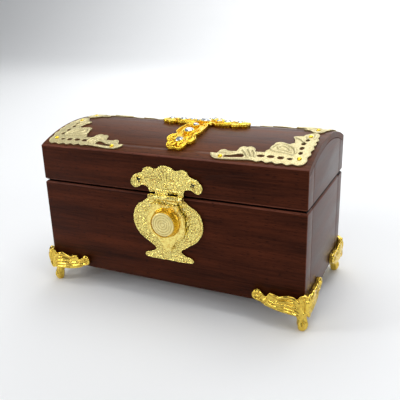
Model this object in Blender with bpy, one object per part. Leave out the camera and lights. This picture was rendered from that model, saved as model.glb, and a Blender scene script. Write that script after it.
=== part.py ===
"""Tabernacle box: a wooden casket with a barrel lid, cast gilt mounts and a leaf-shaped hasp.

World frame: metres, +Z up, the floor at z = 0, the front of the box towards -Y.
The origin is under the middle of the whole object, so the case stands a little behind it.
"""

from math import asin, atan, ceil, cos, hypot, pi, radians, sin, sqrt

import bmesh
import bpy
from mathutils import Matrix, Vector
from mathutils.geometry import delaunay_2d_cdt

MM = 0.001

# Case
WIDTH = 200 * MM
DEPTH = 97.5 * MM
BODY_HEIGHT = 65.9 * MM          # underside to rim
LID_FACE = 26.4 * MM             # lid rim to the crease of the barrel top
LID_RISE = 10.4 * MM             # crease to crown
BOARD = 12 * MM                  # front and back boards and rails
END_BOARD = 10 * MM
BOTTOM_BOARD = 5 * MM
TOP_BOARD = 4 * MM               # curved top panel
LIP = 2 * MM                     # part of each rail that shows beside the top panel
RIM_CHAMFER = 1.4 * MM
GAP = 0.3 * MM                   # left between pieces that touch
RIM_GAP = 0.4 * MM               # between the two rims

# Feet
FOOT_HEIGHT = 16.4 * MM          # floor to the underside of the case
FOOT_PROUD = 3 * MM
FRONT_WING = 35 * MM
SIDE_WING = 32 * MM
CREST = 11.1 * MM

# Latch
LATCH_X = 3.5 * MM
PLATE = 1.2 * MM                 # sheet of the latch plate and the catch plate
STRAP = 1.2 * MM
STRAP_BACK = 2.4 * MM            # strap's back, in front of the case
HASP_PROUD = 3.4 * MM            # hasp axis, in front of the case
HASP_DROP = 0.9 * MM             # hasp axis, below the middle of the parting line
KNUCKLE_RADIUS = 2.0 * MM
HASP_PIN_RADIUS = 0.7 * MM
BUTTON_RADIUS = 9.2 * MM
BUTTON_MOUTH = 7.5 * MM
BUTTON_PROUD = 9 * MM            # button's face, in front of the case
BUTTON_DROP = 17.5 * MM          # below the hasp axis
BUTTON_FLARE = 1.4 * MM          # drum's foot, wider than its face
BUTTON_RIM = 0.8 * MM            # wall round the disc
DISC_SEAT = 0.9 * MM             # disc's seat, under the button's face
FLANGE = 5 * MM                  # strap's belly, wider than the button
STUD_RADIUS = 2.5 * MM
STUD_HEIGHT = 1.4 * MM

# Lid hinges
HINGE_X = 62 * MM
HINGE_LENGTH = 14 * MM
HINGE_PROUD = 0.8 * MM           # axis, behind the case
HINGE_RADIUS = 1.6 * MM
HINGE_PIN_RADIUS = 0.7 * MM
LEAF = 1.0 * MM
LEAF_DEPTH = 8 * MM              # leaf, in from the back of the case

# Gilt overlays on the lid
BRACKET = 0.8 * MM
BRACKET_SPACE = 1 * MM           # from a bracket's side arm to the middle of the lid's end
CROSS_X = 7.5 * MM
CROSS_BACK = 8 * MM              # its middle, behind the crown
CROSS_TURN = radians(-1)
CROSS_THICK = 3.2 * MM
CROSS_SPACE = 6.2 * MM           # from the cross's foot to the crease
CROSS_ARM = 34.3 * MM
CRYSTAL_RISE = 1.3 * MM
CRYSTAL_OUT = 0.52               # part of an arm's length, from the middle to its large stone

# Fasteners and running fits
CATCH_NAIL = (1.0 * MM, 0.4 * MM, 6.5 * MM)       # head radius, head rise, shank length
BRACKET_NAIL = (1.5 * MM, 1.0 * MM, 3 * MM)
LATCH_SCREW_HEAD = 1.9 * MM
LATCH_SCREW_LENGTH = 9 * MM
HINGE_SCREW_HEAD = 1.6 * MM
HINGE_SCREW_LENGTH = 6 * MM
SHANK_RADIUS = 0.5 * MM
SHANK_FIT = 0.3 * MM
PIN_FIT = 0.15 * MM
KNUCKLE_GAP = 0.3 * MM

# Derived places
CASE_Y = (BUTTON_PROUD - FOOT_PROUD) / 2
FRONT = CASE_Y - DEPTH / 2
BACK = CASE_Y + DEPTH / 2
BODY_RIM = FOOT_HEIGHT + BODY_HEIGHT
PARTING = BODY_RIM + RIM_GAP / 2
LID_RIM = BODY_RIM + RIM_GAP
CREASE = LID_RIM + LID_FACE
CROWN = CREASE + LID_RISE
DOME_RADIUS = ((DEPTH / 2) ** 2 + LID_RISE ** 2) / (2 * LID_RISE)
DOME_CENTRE = CROWN - DOME_RADIUS
DOME_ARC = 2 * DOME_RADIUS * asin(DEPTH / 2 / DOME_RADIUS)
SIDE_ARM = DOME_ARC / 2 - BRACKET_SPACE
CROSS_FOOT = DOME_ARC / 2 + CROSS_BACK - CROSS_SPACE
HASP_AXIS = Vector((LATCH_X, FRONT - HASP_PROUD, PARTING - HASP_DROP))
HINGE_AXIS = Vector((0, BACK + HINGE_PROUD, PARTING))
BUTTON_Z = HASP_AXIS.z - BUTTON_DROP

for old in list(bpy.data.objects):
    bpy.data.objects.remove(old)


# ---------------------------------------------------------------- materials

def material(name, colour, roughness, metallic):
    made = bpy.data.materials.new(name)
    made.use_nodes = True
    shader = made.node_tree.nodes["Principled BSDF"]
    shader.inputs["Base Color"].default_value = (*colour, 1)
    shader.inputs["Roughness"].default_value = roughness
    shader.inputs["Metallic"].default_value = metallic
    return made


WOOD = material("mahogany_stained_wood", (0.047, 0.016, 0.010), 0.42, 0)
GILT = material("bright_gilt_zinc", (0.80, 0.58, 0.10), 0.30, 1)
PALE_GILT = material("champagne_gilt_brass", (0.78, 0.71, 0.42), 0.35, 1)
CROSS_GILT = material("yellow_gilt_filigree", (0.90, 0.52, 0.04), 0.32, 1)
BUTTON_BRASS = material("satin_pale_brass", (0.62, 0.50, 0.22), 0.45, 1)
STEEL = material("brassed_steel", (0.60, 0.48, 0.24), 0.35, 1)
CRYSTAL = material("clear_crystal", (0.92, 0.94, 0.96), 0.05, 0)


# ---------------------------------------------------------------- placing

CORNERS = {"front_left": (-1, -1), "front_right": (1, -1), "back_left": (-1, 1), "back_right": (1, 1)}

LID_PIVOT = bpy.data.objects.new("lid_pivot", None)
LID_PIVOT.location = HINGE_AXIS
HASP_PIVOT = bpy.data.objects.new("hasp_pivot", None)
HASP_PIVOT.location = HASP_AXIS - HINGE_AXIS
HASP_PIVOT.parent = LID_PIVOT
for pivot in (LID_PIVOT, HASP_PIVOT):
    bpy.context.scene.collection.objects.link(pivot)


def piece(name, shape, finish, pivot=None, smooth=False):
    """Turn a bmesh in world places into the named object, hung on its pivot."""
    bmesh.ops.recalc_face_normals(shape, faces=shape.faces)
    mesh = bpy.data.meshes.new(name)
    shape.to_mesh(mesh)
    shape.free()
    mesh.materials.append(finish)
    if smooth:
        mesh.shade_smooth()
        mesh.set_sharp_from_angle(angle=radians(35))
    made = bpy.data.objects.new(name, mesh)
    bpy.context.scene.collection.objects.link(made)
    if pivot:
        made.parent = pivot
        away = HINGE_AXIS if pivot is LID_PIVOT else HASP_AXIS
        made.location = -away
    return made


def boolean(target, shape, operation):
    """Join or cut the target with a bmesh in world places."""
    bmesh.ops.recalc_face_normals(shape, faces=shape.faces)
    mesh = bpy.data.meshes.new(target.name + "_tool")
    shape.to_mesh(mesh)
    shape.free()
    tool = bpy.data.objects.new(mesh.name, mesh)
    bpy.context.scene.collection.objects.link(tool)
    tool.hide_render = True
    tool.display_type = "WIRE"
    change = target.modifiers.new(operation.lower(), "BOOLEAN")
    change.operation = operation
    change.solver = "EXACT"
    change.object = tool


def merged(shapes):
    """One bmesh holding several separate bodies."""
    whole = bmesh.new()
    for shape in shapes:
        mesh = bpy.data.meshes.new("joined")
        shape.to_mesh(mesh)
        shape.free()
        whole.from_mesh(mesh)
        bpy.data.meshes.remove(mesh)
    return whole


def moved(shape, matrix):
    bmesh.ops.transform(shape, matrix=matrix, verts=shape.verts)
    return shape


# ---------------------------------------------------------------- shapes

def block(low, high):
    shape = bmesh.new()
    bmesh.ops.create_cube(shape, size=1)
    size = Vector(high) - Vector(low)
    centre = (Vector(high) + Vector(low)) / 2
    bmesh.ops.scale(shape, vec=size, verts=shape.verts)
    bmesh.ops.translate(shape, vec=centre, verts=shape.verts)
    return shape


def arcs(points, step=radians(36)):
    """Close an outline of (x, y, bulge) points, anticlockwise.

    A bulge is the tangent of a quarter of the arc to the next point: 1 is a half circle,
    positive swells outwards and negative is hollow.
    """
    outline = []
    for number, (x, y, bulge) in enumerate(points):
        next_x, next_y, _ = points[(number + 1) % len(points)]
        outline.append((x, y))
        if bulge == 0:
            continue
        chord = hypot(next_x - x, next_y - y)
        along = ((next_x - x) / chord, (next_y - y) / chord)
        turn = 4 * atan(abs(bulge))
        radius = chord / 2 / sin(turn / 2)
        side = 1 if bulge > 0 else -1
        count = max(2, ceil(turn / step))
        for index in range(1, count):
            angle = turn * (index / count - 0.5)
            run = chord / 2 + radius * sin(angle)
            rise = side * radius * (cos(angle) - cos(turn / 2))
            outline.append((x + along[0] * run + along[1] * rise,
                            y + along[1] * run - along[0] * rise))
    return outline


def mirrored(half):
    """Complete a symmetric outline from its right half, given upwards from the foot."""
    left = []
    for (x, y, _), (_, _, bulge) in zip(reversed(half), reversed(half[:-1])):
        left.append((-x, y, bulge))
    return half + left + [(-half[0][0], half[0][1], 0)]


def scaled(points, unit=MM):
    return [(x * unit, y * unit, bulge) for x, y, bulge in points]


def circle(x, y, radius, sides=8):
    return [(x + radius * cos(2 * pi * k / sides), y + radius * sin(2 * pi * k / sides))
            for k in range(sides)]


def plate(outline, thick, holes=()):
    """A flat plate in x and y, standing from 0 to thick in z, with its holes open."""
    points = []
    edges = []
    for loop in (outline, *holes):
        first = len(points)
        points += [Vector(point) for point in loop]
        edges += [(first + k, first + (k + 1) % len(loop)) for k in range(len(loop))]
    rings = [list(range(len(outline)))]
    flat, _, faces, _, _, _ = delaunay_2d_cdt(points, edges, rings, 2, 1e-7)
    shape = bmesh.new()
    verts = [shape.verts.new((point.x, point.y, 0)) for point in flat]
    for face in faces:
        shape.faces.new([verts[k] for k in face])
    grown = bmesh.ops.extrude_face_region(shape, geom=shape.faces[:], use_keep_orig=True)
    top = [item for item in grown["geom"] if isinstance(item, bmesh.types.BMVert)]
    bmesh.ops.translate(shape, vec=(0, 0, thick), verts=top)
    return shape


def turned(profile, matrix, sides=12):
    """Spin a profile of (radius, height) points about Z; both of its ends lie on the axis."""
    shape = bmesh.new()
    verts = [shape.verts.new((radius, 0, height)) for radius, height in profile]
    edges = [shape.edges.new(pair) for pair in zip(verts, verts[1:])]
    bmesh.ops.spin(shape, geom=verts + edges, axis=(0, 0, 1), cent=(0, 0, 0),
                   angle=2 * pi, steps=sides, use_merge=True)
    bmesh.ops.remove_doubles(shape, verts=shape.verts, dist=1e-6)
    return moved(shape, matrix)


def rod(radius, start, end, sides=10):
    """A cylinder from start to end."""
    start = Vector(start)
    axis = Vector(end) - start
    turn = axis.to_track_quat("Z", "X").to_matrix().to_4x4()
    profile = [(0, 0), (radius, 0), (radius, axis.length), (0, axis.length)]
    return turned(profile, Matrix.Translation(start) @ turn, sides)


def run_in_x(outline, start, end):
    """Carry an outline of (y, z) points from x = start to x = end."""
    shape = plate(outline, end - start)
    stand = Matrix(((0, 0, 1, start), (1, 0, 0, 0), (0, 1, 0, 0), (0, 0, 0, 1)))
    return moved(shape, stand)


def facing_front(shape, x, proud, z):
    """Stand a plate up, its back the given distance in front of the case."""
    stand = Matrix(((1, 0, 0, x), (0, 0, -1, FRONT - proud), (0, 1, 0, z), (0, 0, 0, 1)))
    return moved(shape, stand)


def nail(matrix, head, rise, shank, sides=8):
    """A round-head nail along local Z, its head standing on z = 0 and its shank below."""
    profile = [(0, -shank), (SHANK_RADIUS, -shank), (SHANK_RADIUS, 0), (head, 0),
               (head * 0.75, rise * 0.7), (0, rise)]
    return turned(profile, matrix, sides)


def nail_hole(matrix, depth, sides=8):
    """The hole that a nail's shank passes with its fit."""
    reach = Matrix.Translation((0, 0, -depth))
    profile = [(0, 0), (SHANK_RADIUS + SHANK_FIT, 0), (SHANK_RADIUS + SHANK_FIT, 2 * depth), (0, 2 * depth)]
    return turned(profile, matrix @ reach, sides)


def chamfer_rim(shape, rim, outer_y=None, outer_x=()):
    """Cut the chamfer along a board's rim, on its outer face and its outer ends."""
    chosen = []
    for edge in shape.edges:
        ends = [vert.co for vert in edge.verts]
        if any(abs(co.z - rim) > 1e-6 for co in ends):
            continue
        on_face = outer_y is not None and all(abs(co.y - outer_y) < 1e-6 for co in ends)
        on_end = any(all(abs(co.x - x) < 1e-6 for co in ends) for x in outer_x)
        if on_face or on_end:
            chosen.append(edge)
    bmesh.ops.bevel(shape, geom=chosen, offset=RIM_CHAMFER, segments=1, affect="EDGES")
    return shape


# ---------------------------------------------------------------- the barrel top

def dome_height(y, depth=0):
    """Height of the barrel top at y, or of a surface the given depth under it."""
    return DOME_CENTRE + sqrt((DOME_RADIUS - depth) ** 2 - (y - CASE_Y) ** 2)


def dome_arc(start, end, depth, count):
    """Points of (y, z) along the barrel top, or along a surface under it."""
    steps = [start + (end - start) * k / count for k in range(count + 1)]
    return [(y, dome_height(y, depth)) for y in steps]


def on_dome(x, along, rise=0):
    """Frame on the barrel top: Z leaves the surface; along is measured from the front crease."""
    angle = (along - DOME_ARC / 2) / DOME_RADIUS
    radius = DOME_RADIUS + rise
    place = Vector((x, CASE_Y + radius * sin(angle), DOME_CENTRE + radius * cos(angle)))
    return Matrix.Translation(place) @ Matrix.Rotation(-angle, 4, "X")


def wrapped(shape, rise, pitch=8 * MM):
    """Lay a flat plate of (x, along) on the barrel top, the given height above it."""
    lines = ceil(DOME_ARC / pitch)
    for line in range(-1, lines + 1):
        bmesh.ops.bisect_plane(shape, geom=shape.verts[:] + shape.edges[:] + shape.faces[:],
                               plane_co=(0, line * pitch, 0), plane_no=(0, 1, 0), dist=1e-7)
    bmesh.ops.triangulate(shape, faces=shape.faces)
    for vert in shape.verts:
        vert.co = on_dome(vert.co.x, vert.co.y, rise + vert.co.z).translation
    return shape


# ---------------------------------------------------------------- wooden body



def long_board(name, outer, inner, rim_side):
    """Front or back board of the body, full width, over the end panels."""
    low = (-WIDTH / 2, min(outer, inner), FOOT_HEIGHT)
    high = (WIDTH / 2, max(outer, inner), BODY_RIM)
    shape = chamfer_rim(block(low, high), BODY_RIM, outer, (-WIDTH / 2, WIDTH / 2))
    board = piece(name, shape, WOOD)
    if rim_side == "hinged":
        boolean(board, hinge_pockets(-1), "DIFFERENCE")
        boolean(board, screw_holes(-1), "DIFFERENCE")
    else:
        boolean(board, catch_holes(), "DIFFERENCE")


def end_panel(name, side):
    outer = side * WIDTH / 2
    inner = side * (WIDTH / 2 - END_BOARD)
    low = (min(outer, inner), FRONT + BOARD + GAP, FOOT_HEIGHT)
    high = (max(outer, inner), BACK - BOARD - GAP, BODY_RIM)
    piece(name, chamfer_rim(block(low, high), BODY_RIM, None, (outer,)), WOOD)


def bottom_panel():
    inset_x = END_BOARD + GAP
    inset_y = BOARD + GAP
    low = (-WIDTH / 2 + inset_x, FRONT + inset_y, FOOT_HEIGHT)
    high = (WIDTH / 2 - inset_x, BACK - inset_y, FOOT_HEIGHT + BOTTOM_BOARD)
    piece("bottom_panel", block(low, high), WOOD)


# ---------------------------------------------------------------- corner feet

def wing(length):
    """Outline of one wing in (reach, height): corner crest, two leaf lobes and a scroll."""
    reach = length / FRONT_WING
    crest = CREST / MM
    edge = -FOOT_PROUD / MM
    points = [(edge, -0.8, 0), (1.2, -5, 0), (9.4, -3.6, 0), (19 * reach, -2.4, 0.05),
              (27.5 * reach, -0.2, -0.15), (31.5 * reach, 1.8, 0.35), (35 * reach, 5.7, 0.41),
              (31.6 * reach, 9.7, 0.35), (28.4 * reach, 7.8, -0.1), (25 * reach, 5.2, 0),
              (22.9 * reach, 8.9, 0.1), (16.8 * reach, 7.3, 0.25), (5, 6.7, -0.2), (3, 10, 0.2),
              (0.5, crest, 0.1), (edge, crest - 1.2, 0)]
    return arcs(scaled(points))


def leg():
    """Cabriole leg: eight-sided rings of (height, inset from the corner, radius)."""
    rings = [(-0.6, 4.2, 5.0), (-5, 3.0, 4.2), (-9.4, 2.0, 3.1), (-12.4, 1.4, 3.4),
             (-14.7, 1.4, 3.3), (-FOOT_HEIGHT / MM, 1.6, 2.3)]
    shape = bmesh.new()
    loops = []
    for height, inset, radius in rings:
        loops.append([shape.verts.new((inset * MM + x, inset * MM + y, height * MM))
                      for x, y in circle(0, 0, radius * MM)])
    for upper, lower in zip(loops, loops[1:]):
        for k in range(len(upper)):
            near = (k + 1) % len(upper)
            shape.faces.new((upper[k], upper[near], lower[near], lower[k]))
    shape.faces.new(loops[0])
    shape.faces.new(loops[-1])
    return shape


def foot(name, side_x, side_y):
    """Cast corner foot: two leaf wings against the case, a shelf under it and a leg.

    Built in (reach along the front, reach along the end, height) from the corner of the case.
    """
    place = Matrix(((-side_x, 0, 0, side_x * WIDTH / 2),
                    (0, -side_y, 0, CASE_Y + side_y * DEPTH / 2),
                    (0, 0, 1, FOOT_HEIGHT), (0, 0, 0, 1)))
    thick = FOOT_PROUD - GAP
    upright = Matrix(((1, 0, 0, 0), (0, 0, 1, -FOOT_PROUD), (0, 1, 0, 0), (0, 0, 0, 1)))
    sideways = Matrix(((0, 0, 1, -FOOT_PROUD), (1, 0, 0, 0), (0, 1, 0, 0), (0, 0, 0, 1)))
    front_wing = moved(plate(wing(FRONT_WING), thick), place @ upright)
    side_wing = moved(plate(wing(SIDE_WING), thick), place @ sideways)
    shelf = [(-1.5, -1.5, 0), (12, -1.5, 0), (12, 3, 0.15), (3, 12, 0), (-1.5, 12, 0)]
    under = Matrix.Translation((0, 0, -2 * MM))
    shelf_plate = moved(plate(arcs(scaled(shelf)), 2 * MM - GAP), place @ under)
    made = piece(name, front_wing, GILT)
    boolean(made, side_wing, "UNION")
    boolean(made, shelf_plate, "UNION")
    boolean(made, moved(leg(), place), "UNION")


# ---------------------------------------------------------------- catch plate on the body

CATCH_TOP = BODY_HEIGHT - 2.3 * MM        # clear of the hasp's barrel
CATCH_NAILS = {"left": (-12.8, 58), "right": (12.8, 58), "bottom": (0.6, 25.2)}


def catch_outline():
    """Vase: straight base, waist, full belly and drawn-in shoulders."""
    top = CATCH_TOP / MM
    half = [(17, 19, 1), (17, 22.2, -0.15), (9.2, 25.8, -0.25), (11.5, 28.6, 0), (15.6, 31.4, 0.04),
            (21.9, 35.9, 0.4), (22.5, 57.2, -0.06), (13, top, 0)]
    return arcs(scaled(mirrored(half)))


def catch_nail_frames():
    frames = {}
    for word, (x, z) in CATCH_NAILS.items():
        place = Vector((LATCH_X + x * MM, FRONT - GAP - PLATE - GAP / 3, FOOT_HEIGHT + z * MM))
        frames[word] = Matrix.Translation(place) @ Matrix.Rotation(pi / 2, 4, "X")
    return frames


def catch_holes():
    return merged([nail_hole(frame, CATCH_NAIL[2] + GAP) for frame in catch_nail_frames().values()])


def catch_plate():
    flat = plate(catch_outline(), PLATE)
    made = piece("catch_plate", facing_front(flat, LATCH_X, GAP, FOOT_HEIGHT), GILT)
    boolean(made, catch_holes(), "DIFFERENCE")
    for word, frame in catch_nail_frames().items():
        piece("catch_plate_nail_" + word, nail(frame, *CATCH_NAIL), STEEL, smooth=True)
    stud = [(0, 0), (STUD_RADIUS, 0), (STUD_RADIUS * 0.9, STUD_HEIGHT * 0.6), (STUD_RADIUS * 0.5, STUD_HEIGHT),
            (0, STUD_HEIGHT)]
    place = Vector((LATCH_X, FRONT - PLATE - GAP - GAP / 3, BUTTON_Z))
    frame = Matrix.Translation(place) @ Matrix.Rotation(pi / 2, 4, "X")
    piece("catch_stud", turned(stud, frame), GILT, smooth=True)


# ---------------------------------------------------------------- latch plate on the lid

LATCH_SCREW = (20.5 * MM, 9.5 * MM)       # beside the latch's middle, above the parting line
KNUCKLES = {"plate": [(-7.9, 1.6), (9.1, 13.5)], "strap": [(-12.5, -8.2), (1.9, 8.8)]}


def latch_outline():
    """Scalloped crown of three lobes over two drooping ears, in heights above the parting line."""
    half = [(13, 1.7, 0), (13, 3.2, -0.4), (15.6, 6, 0), (19, 6.1, 0.1), (23.6, 3.9, 0.45), (26.6, 9, 0.2),
            (18, 14.8, 0.5), (8, 17.7, 0.36)]
    return arcs(scaled(mirrored(half)))


def latch_screw_frames():
    frames = {}
    for word, side in (("left", -1), ("right", 1)):
        place = Vector((LATCH_X + side * LATCH_SCREW[0], FRONT - PLATE - GAP - GAP / 3,
                        PARTING + LATCH_SCREW[1]))
        frames[word] = Matrix.Translation(place) @ Matrix.Rotation(pi / 2, 4, "X")
    return frames


def latch_holes():
    return merged([nail_hole(frame, LATCH_SCREW_LENGTH + GAP) for frame in latch_screw_frames().values()])


def knuckle(start, end, web_low, web_high, web_near, web_far):
    """A ring on the hasp axis with a web to its leaf; the web's places are measured from the axis."""
    bore = HASP_PIN_RADIUS + PIN_FIT
    ring = plate(circle(0, 0, KNUCKLE_RADIUS, 14), (end - start) * MM, [circle(0, 0, bore, 10)])
    stand = Matrix(((0, 0, 1, HASP_AXIS.x + start * MM), (1, 0, 0, HASP_AXIS.y), (0, 1, 0, HASP_AXIS.z),
                    (0, 0, 0, 1)))
    low = (HASP_AXIS.x + start * MM, HASP_AXIS.y + web_near, HASP_AXIS.z + web_low)
    high = (HASP_AXIS.x + end * MM, HASP_AXIS.y + web_far, HASP_AXIS.z + web_high)
    return moved(ring, stand), block(low, high)


def latch_plate():
    flat = plate(latch_outline(), PLATE)
    made = piece("latch_plate", facing_front(flat, LATCH_X, GAP, PARTING), GILT, LID_PIVOT)
    near = KNUCKLE_RADIUS - 0.9 * MM
    for start, end in KNUCKLES["plate"]:
        for part in knuckle(start, end, -0.6 * MM, HASP_DROP + 2.6 * MM, near, HASP_PROUD - GAP):
            boolean(made, part, "UNION")
    boolean(made, latch_holes(), "DIFFERENCE")


def latch_screws():
    """Cross-head screws through the ears."""
    head = LATCH_SCREW_HEAD
    profile = [(0, -LATCH_SCREW_LENGTH), (SHANK_RADIUS, 1 * MM - LATCH_SCREW_LENGTH), (SHANK_RADIUS, 0),
               (head, 0), (head * 0.95, 0.5 * MM), (head * 0.6, 0.9 * MM), (0, 1.05 * MM)]
    for word, frame in latch_screw_frames().items():
        made = piece("latch_plate_screw_" + word, turned(profile, frame), STEEL, LID_PIVOT)
        for turn in (0, pi / 2):
            slot = block((-1.1 * MM, -0.2 * MM, 0.35 * MM), (1.1 * MM, 0.2 * MM, 2 * MM))
            boolean(made, moved(slot, frame @ Matrix.Rotation(turn + 0.5, 4, "Z")), "DIFFERENCE")


def hasp_pin():
    start = HASP_AXIS + Vector((-12.3 * MM, 0, 0))
    end = HASP_AXIS + Vector((13.3 * MM, 0, 0))
    piece("hasp_pin", rod(HASP_PIN_RADIUS, start, end), STEEL, LID_PIVOT, smooth=True)


# ---------------------------------------------------------------- hasp

def hasp_strap():
    """Leaf that hangs from its knuckles: shoulders, round belly behind the button, blunt tail."""
    drop = BUTTON_DROP / MM
    belly = (BUTTON_RADIUS + FLANGE) / MM
    (left, notch_left), (notch_right, right) = KNUCKLES["strap"]
    side = [(1.6, -drop - 21.5, 0.25), (3.4, -drop - 18.5, 0), (7.2, -drop - 13.5, -0.1),
            (belly - 2.6, -drop - 10.1, 0.25), (belly, -drop - 1, 0.25), (10.4, -drop + 10, -0.15)]
    top = [(right, -1.9, 0), (notch_right, -1.9, 0), (notch_right, -4.2, 0), (notch_left, -4.2, 0),
           (notch_left, -1.9, 0), (left, -1.9, 0.12)]
    back = [(-x, y, bulge) for (x, y, _), (_, _, bulge) in zip(reversed(side), side[-2::-1] + [(0, 0, 0)])]
    mouth = circle(0, -BUTTON_DROP, BUTTON_MOUTH, 24)
    flat = plate(arcs(scaled(side + top + back)), STRAP, [mouth])
    made = piece("hasp_strap", facing_front(flat, LATCH_X, STRAP_BACK, HASP_AXIS.z), GILT, HASP_PIVOT)
    near = HASP_PROUD - STRAP_BACK - STRAP
    for start, end in KNUCKLES["strap"]:
        for part in knuckle(start, end, -2.6 * MM, -1.2 * MM, near, near + STRAP):
            boolean(made, part, "UNION")


def button():
    """Hollow drum on the strap, open behind so that the catch stud can enter it, and its disc."""
    foot = STRAP_BACK + STRAP + GAP
    face = BUTTON_PROUD - foot
    frame = Matrix.Translation((LATCH_X, FRONT - foot, BUTTON_Z)) @ Matrix.Rotation(pi / 2, 4, "X")
    mouth = BUTTON_MOUTH + GAP
    ceiling = face - 2.2 * MM
    flare = BUTTON_RADIUS + BUTTON_FLARE
    seat = BUTTON_RADIUS - BUTTON_RIM
    shell = [(0, ceiling), (mouth - BUTTON_RIM, ceiling), (mouth, 0), (flare, 0), (flare - 0.4 * MM, 0.8 * MM),
             (BUTTON_RADIUS, face), (seat, face), (seat, face - DISC_SEAT), (0, face - DISC_SEAT)]
    piece("hasp_button", turned(shell, frame, 28), GILT, HASP_PIVOT, smooth=True)
    low = face - DISC_SEAT + GAP / 3
    edge = seat - GAP / 2
    disc = [(0, low), (edge, low), (edge, face - 0.2 * MM), (edge - 0.4 * MM, face), (0, face)]
    piece("hasp_medallion", turned(disc, frame, 28), BUTTON_BRASS, HASP_PIVOT, smooth=True)


# ---------------------------------------------------------------- lid

def rail_outline(outer, inward):
    """Cross-section of a rail in (y, z): its face, the lip and the rebate under the top panel."""
    face = [(outer, LID_RIM), (outer, CREASE)]
    lip = outer + inward * LIP
    inner = outer + inward * BOARD
    seat = dome_arc(lip, inner, TOP_BOARD + GAP, 4)
    return face + [(lip, dome_height(lip))] + seat + [(inner, LID_RIM)]


def lid_rail(name, outer, inward):
    shape = run_in_x(rail_outline(outer, inward), -WIDTH / 2, WIDTH / 2)
    bmesh.ops.dissolve_limit(shape, angle_limit=radians(0.1), verts=shape.verts, edges=shape.edges)
    shape = chamfer_rim(shape, LID_RIM, outer, (-WIDTH / 2, WIDTH / 2))
    rail = piece(name, shape, WOOD, LID_PIVOT)
    if inward > 0:
        boolean(rail, latch_holes(), "DIFFERENCE")
    else:
        boolean(rail, hinge_pockets(1), "DIFFERENCE")
        boolean(rail, screw_holes(1), "DIFFERENCE")


def lid_end(name, side):
    start = FRONT + BOARD + GAP
    end = BACK - BOARD - GAP
    arch = dome_arc(end, start, TOP_BOARD + GAP, 12)
    inner = side * (WIDTH / 2 - END_BOARD)
    outer = side * WIDTH / 2
    shape = run_in_x([(start, LID_RIM), (end, LID_RIM)] + arch, min(inner, outer), max(inner, outer))
    bmesh.ops.dissolve_limit(shape, angle_limit=radians(0.1), verts=shape.verts, edges=shape.edges)
    piece(name, chamfer_rim(shape, LID_RIM, None, (outer,)), WOOD, LID_PIVOT)


def lid_top():
    start = FRONT + LIP + GAP
    end = BACK - LIP - GAP
    outline = dome_arc(end, start, 0, 22) + dome_arc(start, end, TOP_BOARD, 22)
    top = piece("lid_top", run_in_x(outline, -WIDTH / 2, WIDTH / 2), WOOD, LID_PIVOT)
    for side_x, side_y in CORNERS.values():
        boolean(top, bracket_nail_holes(side_x, side_y, BRACKET_NAIL[2] + GAP), "DIFFERENCE")


# ---------------------------------------------------------------- corner brackets on the lid

BRACKET_NAILS = {"corner": (8.6, 9.5, 0), "arm": (59, 5.4, 0), "side": (9.6, 40.4, 0)}


def bracket_scaled(points):
    """Stretch (distance from the lid's end, distance along the barrel) so that the side arm fits."""
    stretch = SIDE_ARM / (49.2 * MM)
    return [(x * MM, y * MM * stretch, bulge) for x, y, bulge in points]


def bracket_outline():
    """Openwork corner with scalloped outer edges, a palmette inside and two arms."""
    points = [(5, 4.6, 0.35), (11.5, 3.9, 0.4), (18, 4.0, 0.4), (24.5, 4.4, 0.4), (31, 4.6, 0.35), (37, 4.2, 0),
              (56, 2.8, 0.05), (62.5, 3.2, 0.2), (66.8, 7.6, 0.1), (62.4, 7.6, -0.1), (61.4, 10.4, 0.6),
              (56.6, 11.4, -0.1), (50, 11.4, 0), (49.2, 16.2, 0.45), (45, 17.4, 0.4), (40.6, 17.4, 0.3),
              (38.6, 12.8, 0), (31.4, 13, 0.3), (29.8, 17, -0.1), (28.6, 26, 0.25), (24.4, 27.4, 0.05),
              (19.6, 24.6, 0.1), (16.4, 28, -0.1), (20.2, 38, 0.2), (14, 40.5, 0.3),
              (12.6, 45, 0.2), (8.6, 49.2, 0.2), (5.2, 45, 0), (4.6, 38, 0.35), (4.4, 31.5, 0.35),
              (4.2, 25, 0.35), (4.2, 18.4, 0.35), (4.4, 11.5, 0.3)]
    return arcs(bracket_scaled(points), radians(50))


def bracket_holes():
    corners = [(45.4, 6.2, 0), (55.4, 5.2, 0.9), (55.6, 6.8, -0.1), (48, 9.2, 0.8)]
    slot = arcs(bracket_scaled(corners), radians(60))
    ovals = [(14.4, 8.6, 1.4, 1.0), (20.4, 8.9, 1.9, 1.3), (26.8, 9.3, 2.1, 1.3), (33.2, 9.2, 2.2, 1.2),
             (9.6, 15.8, 1.1, 1.6), (10.4, 21.8, 1.2, 1.9), (11, 28, 1.2, 1.9), (10, 34, 1.1, 1.8)]
    holes = [slot]
    for x, y, half_x, half_y in ovals:
        around = [(x + half_x * cx, y + half_y * cy, 0) for cx, cy in circle(0, 0, 1)]
        holes.append([(x, y) for x, y, _ in bracket_scaled(around)])
    return holes


def bracket_nail_frames(side_x, side_y):
    frames = {}
    for word, spot in BRACKET_NAILS.items():
        inset, along, _ = bracket_scaled([spot])[0]
        run = along if side_y < 0 else DOME_ARC - along
        frames[word] = on_dome(side_x * (WIDTH / 2 - inset), run, GAP + BRACKET + GAP / 3)
    return frames


def bracket_nail_holes(side_x, side_y, depth):
    return merged([nail_hole(frame, depth, 6) for frame in bracket_nail_frames(side_x, side_y).values()])


def corner_bracket(name, side_x, side_y):
    flat = plate(bracket_outline(), BRACKET, bracket_holes())
    start = 0 if side_y < 0 else DOME_ARC
    corner = Matrix(((-side_x, 0, 0, side_x * WIDTH / 2), (0, -side_y, 0, start), (0, 0, 1, 0), (0, 0, 0, 1)))
    bracket = piece(name, wrapped(moved(flat, corner), GAP), PALE_GILT, LID_PIVOT)
    boolean(bracket, bracket_nail_holes(side_x, side_y, 2 * MM), "DIFFERENCE")


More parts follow.
